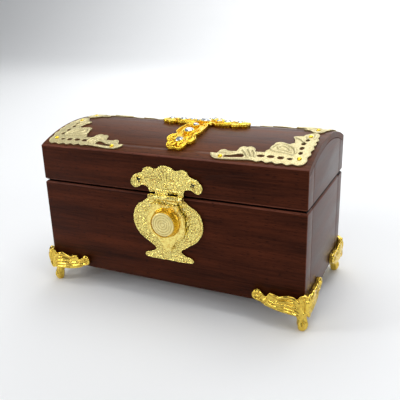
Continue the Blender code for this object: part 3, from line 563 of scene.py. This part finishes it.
def rolled_edge(loops, radius, lift):
    """A fine raised wire along outlines, lift millimetres up."""
    lines = smooth_paths("rolled_edge", loops)
    lines.dimensions = "3D"
    lines.bevel_depth = radius * MM
    lines.bevel_resolution = 2
    made = curve_to_mesh("rolled_edge", lines)
    made.data.transform(Matrix.Translation((0, 0, lift * MM)))
    return made


def laid(made, place):
    """Carry a flat piece on to its surface."""
    for vertex in made.data.vertices:
        vertex.co = place(*vertex.co)


def stippled(made, size, depth):
    """Small hammered dimples in the ground of a casting."""
    pattern = bpy.data.textures.new("stipple", "CLOUDS")
    pattern.noise_scale = size * MM
    pattern.noise_depth = 0
    bpy.context.view_layer.objects.active = made
    dimples = made.modifiers.new("dimples", "DISPLACE")
    dimples.texture = pattern
    dimples.texture_coords = "LOCAL"
    dimples.strength = depth * MM
    dimples.mid_level = 0.5
    bpy.ops.object.modifier_apply(modifier="dimples")


def flat_on_catch(spot):
    return Vector((spot.x - latch_x, spot.z - case_low.z))


def catch_spot(x, height, lift):
    return Vector((latch_x + x, catch_high.y - lift, case_low.z + height))


plate_thick = (catch_high.y - catch_low.y) / MM
catch_loops = outlines("catch_plate", lambda spot: spot.y < plate_face + 0.3 * MM, flat_on_catch)
catch = sheet("catch_plate_pressing", catch_loops, plate_thick)
catch_rim = rolled_edge(catch_loops, 0.42, plate_thick - 0.05)
for part in (catch, catch_rim):
    laid(part, catch_spot)
catch_parts = [catch_rim]
for side in (-1, 1):
    lines = [
        ([(12, 62.4), (19.6, 58), (24.6, 52), (25.6, 46.5), (24, 40.5), (20, 36), (14, 32.6), (9.6, 29)], 0.7),
        (curl(18.6, 45.5, 3.6, 70, -1.3), 0.6),
        (curl(17, 53.2, 2.8, -60, 1.2), 0.55),
        (curl(15, 37.6, 2.6, 60, 1.2), 0.55),
        ([(14.4, 57.5), (17.6, 56.2), (20.4, 52.6)], 0.5),
        ([(21.6, 49), (21.9, 45.8), (20.8, 42.4)], 0.5),
        ([(19, 40.4), (16, 35.6), (11.6, 32.4)], 0.5),
        ([(4, 33.5), (5.6, 29.4), (7.4, 25.4)], 0.6),
        ([(1.6, 30), (2.4, 26), (4.2, 23.6)], 0.55),
        ([(1, 22.4), (8, 22.6), (15, 21)], 0.6),
        ([(1, 20.2), (8, 20.2), (16, 20.2)], 0.6),
    ]
    catch_parts += [stroke(on_catch, [(side * x, y) for x, y in line], width) for line, width in lines]
    spots = ((18.6, 45.5), (17, 53.2), (15, 37.6), (12, 21.4))
    catch_parts += [bead(on_catch(side * x, y), 0.7) for x, y in spots]
melted(catch, catch_parts, 0.25, 1)
stippled(catch, 1.0, 0.5)
hollows(catch, 0.3)
finished(catch, bright_gilt, "box", "bright_gilt", "catch_plate")


# ---------------------------------------------------------------- latch plate
# The upper plate is cast in the same gilt zinc: three scalloped lobes over two drooping ears, its
# lower edge rolled above the barrel of the hasp hinge.

def on_latch(x, height):
    return (latch_x + x * MM, plate_face + 0.15 * MM, parting + height * MM)


def flat_on_latch(spot):
    return Vector((spot.x - latch_x, spot.z - parting))


def latch_spot(x, height, lift):
    return Vector((latch_x + x, catch_high.y - lift, parting + height))


def cut_level(made, level, above):
    """Keep only what lies above a level, or below it, and close the cut."""
    bpy.ops.object.select_all(action="DESELECT")
    made.select_set(True)
    bpy.context.view_layer.objects.active = made
    bpy.ops.object.mode_set(mode="EDIT")
    bpy.ops.mesh.select_all(action="SELECT")
    bpy.ops.mesh.bisect(plane_co=(0, 0, level), plane_no=(0, 0, 1), use_fill=True,
                        clear_inner=above, clear_outer=not above)
    bpy.ops.object.mode_set(mode="OBJECT")


latch_loops = outlines("latch_plate", lambda spot: abs(spot.y - plate_face) < 0.1 * MM
                       and spot.z > parting + 3.0 * MM, flat_on_latch)
latch = sheet("latch_plate_casting", latch_loops, plate_thick)
latch_rim = rolled_edge(latch_loops[:1], 0.38, plate_thick - 0.05)
for part in (latch, latch_rim):
    laid(part, latch_spot)
latch_knuckles = copied("latch_plate", "latch_knuckles")
cut_level(latch_knuckles, parting + 3.8 * MM, False)
latch_parts = [latch_rim, latch_knuckles]
for side in (-1, 1):
    lines = [
        ([(0.8, 8), (2.2, 13), (3.2, 19)], 0.8),
        ([(1.6, 7.6), (4.4, 12), (6, 17.4)], 0.75),
        ([(4, 7.4), (7.6, 11.4), (9.6, 16.4)], 0.75),
        ([(6, 7.2), (10.6, 11), (13, 17)], 0.75),
        ([(8, 7), (13, 10.2), (16, 14.6)], 0.7),
        (curl(20.6, 9.4, 4.2, 150, -0.8), 0.75),
        ([(15.4, 8), (16.4, 11), (19, 13.4)], 0.6),
        ([(22.4, 13.4), (25, 10.6), (25, 7), (23.8, 5)], 0.7),
        (curl(8.4, 6.2, 1.8, 90, -1.1), 0.55),
    ]
    latch_parts += [stroke(on_latch, [(side * x, y) for x, y in line], width) for line, width in lines]
    spots = ((8.4, 6.2), (4.5, 18), (11, 18.2), (15.6, 16.4))
    latch_parts += [bead(on_latch(side * x, y), 0.8) for x, y in spots]
latch_parts.append(stroke(on_latch, [(0, 8.5), (0, 14), (0, 19.8)], 0.85))
latch_parts.append(bead(on_latch(0, 7.4), 1.3))
latch_parts.append(rib([on_latch(x, 3.6) for x in (-12.8, -4, 4, 12.8)], [1.15, 1.2, 1.2, 1.15]))
melted(latch, latch_parts, 0.25, 1)
stippled(latch, 1.0, 0.45)
hollows(latch, 0.3)
finished(latch, bright_gilt, "lid", "bright_gilt", "latch_plate")


# ---------------------------------------------------------------- hasp
# The strap is a pressed leaf with a relief neck, a round belly and a plain tail. The button on it
# is a turned drum with a satin brass disc let into its face.

# the strap is burnished where fingers hold it, so it is smoother than the plates
polished_gilt = gilt("burnished_gilt_on_pressed_brass", "#fdea88", "#c8902a", "#8a5412", 0.22, 1.2, 0.3, 0.9)
# the lacquer on the drum has darkened to amber, so that it frames the pale disc
amber_gilt = gilt("deep_amber_gilt_on_turned_brass", "#f0c648", "#c08418", "#6e3c08", 0.26, 0.9, 0.3)

axis = (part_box("hasp_pin")[0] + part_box("hasp_pin")[1]) / 2
disc_low, disc_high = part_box("hasp_medallion")
button_z = (disc_low.z + disc_high.z) / 2
strap_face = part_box("hasp_button")[1].y


strap_thick = 1.5


def on_strap(x, height):
    return (latch_x + x * MM, strap_face + 0.35 * MM, button_z + height * MM)


def flat_on_strap(spot):
    return Vector((spot.x - latch_x, spot.z - button_z))


def strap_spot(x, height, lift):
    return Vector((latch_x + x, strap_face + strap_thick * MM - lift, button_z + height))


strap_loops = outlines("hasp_strap", lambda spot: strap_face - 0.2 * MM < spot.y < strap_face + 0.45 * MM
                       and spot.z < axis.z - 2.9 * MM, flat_on_strap)
strap = sheet("hasp_strap_pressing", strap_loops, strap_thick)
strap_rim = rolled_edge(strap_loops[:1], 0.3, strap_thick)
for part in (strap, strap_rim):
    laid(part, strap_spot)
strap_knuckles = copied("hasp_strap", "strap_knuckles")
cut_level(strap_knuckles, axis.z - 3.6 * MM, True)
strap_parts = [strap_rim, strap_knuckles]
for side in (-1, 1):
    for line, width in (
        ([(0.6, 9.8), (3.6, 11.4), (6.6, 13.6)], 0.6),
        ([(5.6, 9.8), (7.4, 11.6), (8.6, 14)], 0.55),
        ([(1, 12), (1.6, 12.6), (1.2, 13.2)], 0.5),
    ):
        strap_parts.append(stroke(on_strap, [(side * x, y) for x, y in line], width))
melted(strap, strap_parts, 0.22, 2)
hollows(strap, 0.3)
finished(strap, polished_gilt, "hasp", "bright_gilt", "hasp_strap")


def turned(name, profile, place, sides=96):
    """Spin a (radius, height) profile in millimetres about the place's Z."""
    mesh = bpy.data.meshes.new(name)
    points = [(radius * MM, 0, height * MM) for radius, height in profile]
    mesh.from_pydata(points, [(k, k + 1) for k in range(len(points) - 1)], [])
    made = new_object(name, mesh)
    bpy.ops.object.mode_set(mode="EDIT")
    bpy.ops.mesh.select_all(action="SELECT")
    bpy.ops.mesh.spin(steps=sides, angle=2 * math.pi, center=(0, 0, 0), axis=(0, 0, 1))
    bpy.ops.mesh.select_all(action="SELECT")
    bpy.ops.mesh.remove_doubles(threshold=0.00001)
    bpy.ops.mesh.normals_make_consistent(inside=False)
    bpy.ops.object.mode_set(mode="OBJECT")
    made.data.transform(place)
    bpy.ops.object.shade_smooth_by_angle(angle=math.radians(40))
    return made


def facing(place):
    """Local Z out of the front of the box."""
    return Matrix.Translation(place) @ Matrix.Rotation(math.pi / 2, 4, "X")


button_low, button_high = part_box("hasp_button")
button_foot = Vector(((button_low.x + button_high.x) / 2, button_high.y, button_z))
depth = (button_high.y - button_low.y) / MM
flare = (button_high.x - button_low.x) / 2 / MM
seat = 8.8  # radius of the recess for the disc
recess_floor = depth - 0.9
ceiling = depth - 2.2  # of the hollow that snaps over the stud
drum = [
    (0, ceiling), (7, ceiling), (7.8, 0), (flare - 0.3, 0), (flare, 0.25), (flare - 0.1, 0.7),
    (flare - 0.6, 1.2), (9.9, 2.4), (9.5, 3.8), (9.35, depth - 0.5), (9.3, depth - 0.15), (9.15, depth),
    (seat + 0.1, depth), (seat, depth - 0.15), (seat, recess_floor), (0, recess_floor),
]
button = turned("hasp_button_drum", drum, facing(button_foot))
finished(button, amber_gilt, "hasp", "bright_gilt", "hasp_button")

# satin brass, brushed round by a lathe: the rings catch the light in circles
disc_brass = gilt("satin_brass_disc", "#f2e3a0", "#d8bf70", "#6a4a1c", 0.36, 1.2, 0.2, 0.4)
face = (disc_high.y - disc_low.y) / MM
rings = [(0, 0), (seat - 0.3, 0), (seat - 0.3, face - 0.45), (seat - 0.7, face - 0.1)]
for ring in range(4):
    outer = seat - 1.5 - ring * 1.75
    rings += [(outer, face - 0.02), (outer - 0.25, face - 0.4)]
    rings += [(outer - 0.6, face - 0.4), (outer - 0.85, face - 0.05)]
rings.append((0, face - 0.12))
disc = turned("hasp_medallion_disc", rings, facing((button_foot.x, disc_high.y, button_z)))
# painted shade in the bottoms of the lathe rings' grooves
painted_groove_shade = disc.data.attributes.new("painted_hollow_shade", "FLOAT", "POINT")
for vertex in disc.data.vertices:
    painted_groove_shade.data[vertex.index].value = 0.22 if disc_high.y - vertex.co.y < (face - 0.3) * MM else 0.0
finished(disc, disc_brass, "hasp", "pale_brass", "hasp_medallion")


# ---------------------------------------------------------------- corner brackets
# Stamped brass openwork, plated a pale champagne gilt and bent to the barrel lid: scalloped outer
# edges, a palmette inside the corner and a leaf on each arm.

champagne_gilt = gilt("champagne_gilt_stamped_brass", "#dfd5a8", "#bfab70", "#6a5426", 0.52, 0.9, 0.3, 0.7)

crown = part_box("lid_top")[1].z
rail_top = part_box("lid_front_rail")[1].z
half_depth = case_middle - case_low.y
# the arc runs from crease to crown to crease; its rise is found by steps, from the rail's lip
lip = half_depth - 2 * MM
rise = crown - rail_top + 0.9 * MM
for _ in range(20):
    barrel_radius = (half_depth ** 2 + rise ** 2) / (2 * rise)
    lip_top = crown - barrel_radius + math.sqrt(barrel_radius ** 2 - lip ** 2)
    rise += lip_top - rail_top
barrel_axis = crown - barrel_radius
barrel_arc = 2 * barrel_radius * math.asin(half_depth / barrel_radius)


def on_barrel(x, along, lift):
    """Frame on the barrel lid, Z leaving it; along is measured from the front crease."""
    angle = (along - barrel_arc / 2) / barrel_radius
    reach = barrel_radius + lift
    place = Vector((x, case_middle + reach * math.sin(angle), barrel_axis + reach * math.cos(angle)))
    return Matrix.Translation(place) @ Matrix.Rotation(-angle, 4, "X")


def on_bracket(inset, along):
    return (inset * MM, along * MM, 0.9 * MM)


def above_barrel(spot):
    return math.hypot(spot.y - case_middle, spot.z - barrel_axis) - barrel_radius


def flat_on_lid(spot):
    """Inset from the lid's left end, and distance along the barrel from the front crease."""
    angle = math.atan2(spot.y - case_middle, spot.z - barrel_axis)
    return Vector((spot.x - case_low.x, barrel_arc / 2 + barrel_radius * angle))


def lid_spot(inset, along, lift):
    return on_barrel(case_low.x + inset, along, lift).translation


def spread(outline):
    """The width of an outline; the widest of a plate's is its outer edge."""
    return max(spot.x for spot in outline) - min(spot.x for spot in outline)


def along_lid(spot):
    """Distance along the barrel from the front crease."""
    return barrel_arc / 2 + barrel_radius * math.atan2(spot.y - case_middle, spot.z - barrel_axis)


bracket_thick = 1.0
hole_growth = 0.2
bracket_loops = outlines("corner_bracket_front_left", lambda spot: above_barrel(spot) > 0.7 * MM, flat_on_lid)
bracket_loops.sort(key=spread, reverse=True)
for loop in bracket_loops[1:]:
    centre = sum(loop, Vector((0, 0))) / len(loop)
    for spot in loop:
        spot += (spot - centre) * hole_growth
bracket = sheet("front_left_bracket", bracket_loops, bracket_thick)
bracket_parts = [rolled_edge(bracket_loops[:1], 0.34, bracket_thick - 0.1)]
bracket_lines = [
    # palmette: nested lines that open from the corner to its rounded outer edge
    ([(13.4, 12.6), (19, 14.6), (25, 15.6), (29, 17.4), (28.6, 21.6), (26.4, 25)], 0.62),
    ([(12.4, 14.4), (14.6, 20), (18.6, 23.8), (23.4, 26)], 0.62),
    ([(15.6, 15.6), (20.4, 17.4), (24.6, 19.2), (24.8, 22), (22, 22.4), (18.6, 20.2), (15.6, 15.6)], 0.55),
    # leaf on the side arm
    ([(11.4, 30), (14, 33.6), (18.6, 37)], 0.6),
    ([(10.4, 36), (11.6, 40), (11.4, 43.4)], 0.55),
    ([(6.4, 36), (6.6, 41), (8.4, 47)], 0.5),
    # fan on the long arm, its lines bent the same way
    ([(36.4, 7.4), (37.6, 11), (40, 14.4)], 0.6),
    ([(38.6, 7), (40.6, 11), (43.4, 15)], 0.6),
    ([(41, 6.4), (43.6, 10.4), (46.6, 13.6)], 0.6),
    # the arm's end: a strip along the slot and a leaf tip
    ([(38, 4.8), (47, 4), (56, 3.6)], 0.55),
    ([(52, 10), (55.4, 9), (59, 9.8), (61, 8.8)], 0.55),
    ([(61, 4.6), (63.6, 5), (66, 7)], 0.55),
]
bracket_parts += [stroke(on_bracket, line, width * 1.45, 0.7) for line, width in bracket_lines]
melted(bracket, bracket_parts, 0.22, 1)
stippled(bracket, 0.8, 0.16)
hollows(bracket, 0.2)
laid(bracket, lid_spot)
for corner, over_x, over_y in corners:
    made = mirrored(bracket, corner + "_bracket", over_x, over_y)
    finished(made, champagne_gilt, "lid", "champagne_gilt", "corner_bracket_" + corner)
finished(bracket, champagne_gilt, "lid", "champagne_gilt", "corner_bracket_front_left")


# ---------------------------------------------------------------- cross
# Filigree cross cast in two layers, plated a deep yellow gold: wire-edged loops at each tip, coiled
# scrolls between the arms, and a claw setting under every crystal.

yellow_gilt = gilt("deep_yellow_gilt_filigree", "#ffdf48", "#ec9c12", "#c2690c", 0.24, 0.9, 0.3, 0.7)

seats = {}
for word in ("centre", "right", "back", "left", "front"):
    low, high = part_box("cross_crystal_" + word)
    middle = (low + high) / 2
    seats[word] = Vector((middle.x, along_lid(middle)))
cross_centre = seats["centre"]
across = seats["right"] - seats["left"]
cross_turn = math.atan2(across.y, across.x)
cross_top = above_barrel(Vector((cross_centre.x, case_middle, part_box("cross_crystal_centre")[0].z))) - 0.3 * MM


def on_cross(x, y, lift=0.0):
    """A frame on the cross's face, x and y in millimetres along its arms."""
    turned_x = x * math.cos(cross_turn) - y * math.sin(cross_turn)
    turned_y = x * math.sin(cross_turn) + y * math.cos(cross_turn)
    return on_barrel(cross_centre.x + turned_x * MM, cross_centre.y + turned_y * MM, cross_top + lift * MM)


def cross_spot(x, y, lift):
    """The place on the lid of a point of the cross while it is still flat."""
    return on_cross(x / MM, y / MM, (lift - cross_top) / MM).translation


def flat_on_cross(spot):
    away = flat_on_lid(spot) - Vector((cross_centre.x - case_low.x, cross_centre.y))
    return Matrix.Rotation(-cross_turn, 2) @ away


crystal_share = 0.52  # of an arm's length, from the centre to its named crystal
arms = []
for quarter, word in enumerate(("right", "back", "left", "front")):
    arms.append((quarter, word, (seats[word] - cross_centre).length / MM / crystal_share))


def along_arm(quarter, out, side):
    """Turn (distance out, distance aside) on an arm into the cross's own x and y."""
    angle = quarter * math.pi / 2
    return out * math.cos(angle) - side * math.sin(angle), out * math.sin(angle) + side * math.cos(angle)


def loop(place, x, y, wide, tall, turn):
    """A closed oval wire on a surface."""
    marks = []
    for k in range(13):
        angle = 2 * math.pi * k / 12
        u, v = wide * math.cos(angle), tall * math.sin(angle)
        marks.append((x + u * math.cos(turn) - v * math.sin(turn), y + u * math.sin(turn) + v * math.cos(turn)))
    return rib([place(*mark) for mark in marks], [0.5] * 13)


# the ground lies well below the wires, so that every loop and scroll has a shaded bed
cross_high = cross_top / MM
cross_loops = outlines("cross", lambda spot: above_barrel(spot) > cross_top - 0.4 * MM, flat_on_cross)
cross_loops.sort(key=spread, reverse=True)
cross = sheet("gilt_cross", cross_loops, cross_high - 2.0)
cross_wall = rolled_edge(cross_loops[:1], 0.55, cross_high - 1.3)
cross_parts = [rolled_edge(cross_loops, 0.5, cross_high - 0.3), cross_wall]
stones = [(0.0, 0.0, 4.2, "centre")]
for quarter, word, length in arms:
    unit = length / 45
    wide = math.sqrt(unit)

    def on_arm(out, side, unit=unit, wide=wide, quarter=quarter):
        x, y = along_arm(quarter, out * unit, side * wide)
        return (x * MM, y * MM, cross_top - 0.3 * MM)

    for side in (-1, 1):
        cross_parts.append(loop(on_arm, 33.4, side * 5.8, 3.0, 2.3, 0.4 * side))
        cross_parts.append(loop(on_arm, 39.8, side * 3.0, 2.5, 2.1, 0.2 * side))
        arm_lines = [
            (curl(10.6, side * 5.8, 3.2, 90 * side, 1.0 * side), 0.6),
            ([(14, side * 3.4), (18.6, side * 4.8), (24, side * 4.4), (28.6, side * 2.6)], 0.6),
        ]
        cross_parts += [stroke(on_arm, line, width, 0.6) for line, width in arm_lines]
        cross_parts += [bead(on_arm(x, side * y), 0.75) for x, y in ((29.6, 1.6), (43.6, 0.8))]
    stones.append((*along_arm(quarter, 23.4 * unit, 0), 3.4, word))
    for out, radius in ((14, 2.2), (36, 2.7)):
        stones.append((*along_arm(quarter, out * unit, 0), radius, ""))
for quarter in range(4):
    angle = (quarter + 0.5) * math.pi / 2
    stones.append((5.9 * math.cos(angle), 5.9 * math.sin(angle), 1.2, ""))
for x, y, radius, _ in stones:
    bpy.ops.object.select_all(action="DESELECT")
    bpy.ops.mesh.primitive_cylinder_add(vertices=24, radius=(radius + 0.35) * MM, depth=2.0 * MM)
    setting = bpy.context.object
    setting.data.transform(Matrix.Translation((x * MM, y * MM, cross_top - 0.9 * MM)))
    cross_parts.append(setting)
    bpy.ops.object.select_all(action="DESELECT")
    bpy.ops.mesh.primitive_torus_add(major_radius=(radius + 0.2) * MM, minor_radius=0.34 * MM,
                                     major_segments=28, minor_segments=8)
    ring = bpy.context.object
    ring.data.transform(Matrix.Translation((x * MM, y * MM, cross_top + 0.3 * MM)))
    cross_parts.append(ring)
    for claw in range(4):
        angle = (claw + 0.5) * math.pi / 2
        reach = (radius - 0.1) * MM
        cross_parts.append(bead((x * MM + reach * math.cos(angle), y * MM + reach * math.sin(angle),
                                 cross_top + 0.95 * MM), 0.38))
melted(cross, cross_parts, 0.32, 1)
hollows(cross, 0.4)
laid(cross, cross_spot)
finished(cross, yellow_gilt, "lid", "yellow_gilt", "cross")


# ---------------------------------------------------------------- crystals
# Foil-backed cut glass stones, five large and twelve small, each in its claw setting. The facets
# throw back the room in flat bright and dark patches.

cut_glass, _, glass_shader = new_material("foil_backed_cut_crystal")
glass_shader.inputs["Base Color"].default_value = linear("#c2c9cf")
glass_shader.inputs["Metallic"].default_value = 0.75
glass_shader.inputs["Roughness"].default_value = 0.05
glass_shader.inputs["Coat Weight"].default_value = 1.0
glass_shader.inputs["Coat Roughness"].default_value = 0.02

for number, (x, y, radius, word) in enumerate(stones):
    bpy.ops.object.select_all(action="DESELECT")
    sides = 12 if radius > 2.5 else 8
    bpy.ops.mesh.primitive_cylinder_add(vertices=sides, radius=radius * MM, depth=0.4 * MM)
    stone = bpy.context.object
    stone.name = "crystal_" + (word or "small_%d" % number)
    bpy.ops.object.mode_set(mode="EDIT")
    bpy.ops.mesh.select_all(action="DESELECT")
    bpy.ops.object.mode_set(mode="OBJECT")
    for face in stone.data.polygons:
        face.select = face.normal.z > 0.9
    bpy.ops.object.mode_set(mode="EDIT")
    for lift, shrink in ((0.45, 0.82), (0.4, 0.74)):
        bpy.ops.mesh.extrude_region_move(TRANSFORM_OT_translate={"value": (0, 0, lift * MM)})
        bpy.ops.transform.resize(value=(shrink, shrink, 1), center_override=(0, 0, 0))
        bpy.ops.transform.rotate(value=math.pi / sides, orient_axis="Z", center_override=(0, 0, 0))
    bpy.ops.mesh.select_all(action="SELECT")
    bpy.ops.mesh.quads_convert_to_tris(quad_method="SHORTEST_DIAGONAL")
    bpy.ops.mesh.normals_make_consistent(inside=False)
    bpy.ops.object.mode_set(mode="OBJECT")
    stone.data.transform(on_cross(x, y, 0.45))
    stone.data.materials.append(cut_glass)
    if word:
        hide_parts("cross_crystal_" + word)
    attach(stone, "lid")


# ---------------------------------------------------------------- nails and screws
# Round-head brass escutcheon pins on the brackets and the catch plate, and cross-head screws
# through the ears of the latch plate.

plated_steel = gilt("brass_plated_steel", "#e0d29a", "#c4b070", "#6a4a1c", 0.25, 0.6, 0.1, 0.4)
nail_head = [(0, -0.2), (1.45, -0.2), (1.5, 0.05), (1.35, 0.4), (1.0, 0.72), (0.5, 0.93), (0, 1.0)]
for corner in ("front_left", *(name for name, _, _ in corners)):
    for word in ("corner", "arm", "side"):
        node = "bracket_nail_" + corner + "_" + word
        low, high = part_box(node)
        middle = (low + high) / 2
        place = on_barrel(middle.x, along_lid(middle), 1.2 * MM)
        made = turned(node + "_pin", nail_head, place, 24)
        finished(made, yellow_gilt, "lid", "yellow_gilt", node)

small_head = [(0, -0.2), (1.0, -0.2), (1.0, 0.05), (0.8, 0.28), (0.4, 0.38), (0, 0.4)]
for word in ("left", "right", "bottom"):
    low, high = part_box("catch_plate_nail_" + word)
    middle = (low + high) / 2
    place = facing((middle.x, plate_face - 0.1 * MM, middle.z))
    made = turned("catch_nail_" + word, small_head, place, 24)
    finished(made, plated_steel, "box", "plated_steel", "catch_plate_nail_" + word)

# the cross recess is painted near black: painted shade in the slot
screw_slot_painted_shade, _, slot_shade_shader = new_material("painted_shade_in_screw_slot")
slot_shade_shader.inputs["Base Color"].default_value = linear("#15100c")
slot_shade_shader.inputs["Roughness"].default_value = 0.5

screw_head = [(0, -0.3), (2.4, -0.3), (2.4, 0.1), (2.2, 0.5), (1.6, 0.82), (0.8, 0.98), (0, 1.02)]
recess_size = (4.0 * MM, 1.35 * MM, 1.5 * MM, 1)
recess_turn = 0.5
for word in ("left", "right"):
    low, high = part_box("latch_plate_screw_" + word)
    middle = (low + high) / 2
    place = facing((middle.x, plate_face - 0.1 * MM, middle.z))
    made = turned("latch_screw_" + word, screw_head, place, 32)
    for turn in (recess_turn, recess_turn + math.pi / 2):
        bpy.ops.object.select_all(action="DESELECT")
        bpy.ops.mesh.primitive_cube_add(size=1)
        slot = bpy.context.object
        slot.data.transform(place @ Matrix.Rotation(turn, 4, "Z") @ Matrix.Translation((0, 0, 0.7 * MM))
                            @ Matrix.Diagonal(recess_size))
        cut = made.modifiers.new("recess", "BOOLEAN")
        cut.operation = "DIFFERENCE"
        cut.object = slot
        bpy.context.view_layer.objects.active = made
        bpy.ops.object.modifier_apply(modifier="recess")
        bpy.data.objects.remove(slot)
    finished(made, polished_gilt, "lid", "bright_gilt", "latch_plate_screw_" + word)
    made.data.materials.append(screw_slot_painted_shade)
    axis_out = place.to_3x3() @ Vector((0, 0, 1))
    # faces in the cross recess take the painted shade
    for face in made.data.polygons:
        out = (face.center - place.translation).dot(axis_out)
        rim = (face.center - place.translation - axis_out * out).length
        if rim < 2.2 * MM and (abs(face.normal.dot(axis_out)) < 0.3 or out < 0.3 * MM):
            face.material_index = 1


# ---------------------------------------------------------------- catch stud
# A low domed stud, riveted to the catch plate. The hollow button of the hasp snaps over it and
# hides it while the hasp is closed.

low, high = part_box("catch_stud")
middle = (low + high) / 2
stud_head = [(0, 0), (2.5, 0), (2.45, 0.5), (2.1, 1.0), (1.4, 1.32), (0.7, 1.4), (0, 1.4)]
stud = turned("catch_stud_dome", stud_head, facing((middle.x, high.y, middle.z)), 48)
finished(stud, bright_gilt, "box", "bright_gilt", "catch_stud")


# ---------------------------------------------------------------- lid hinges
# Small steel hinges let into the rims and plated like brass. Their own shapes are right, so they
# keep them and only take their finish.

for node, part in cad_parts.items():
    if node.startswith("hinge_") or node == "hasp_pin":
        part.data.materials.clear()
        part.data.materials.append(plated_steel)
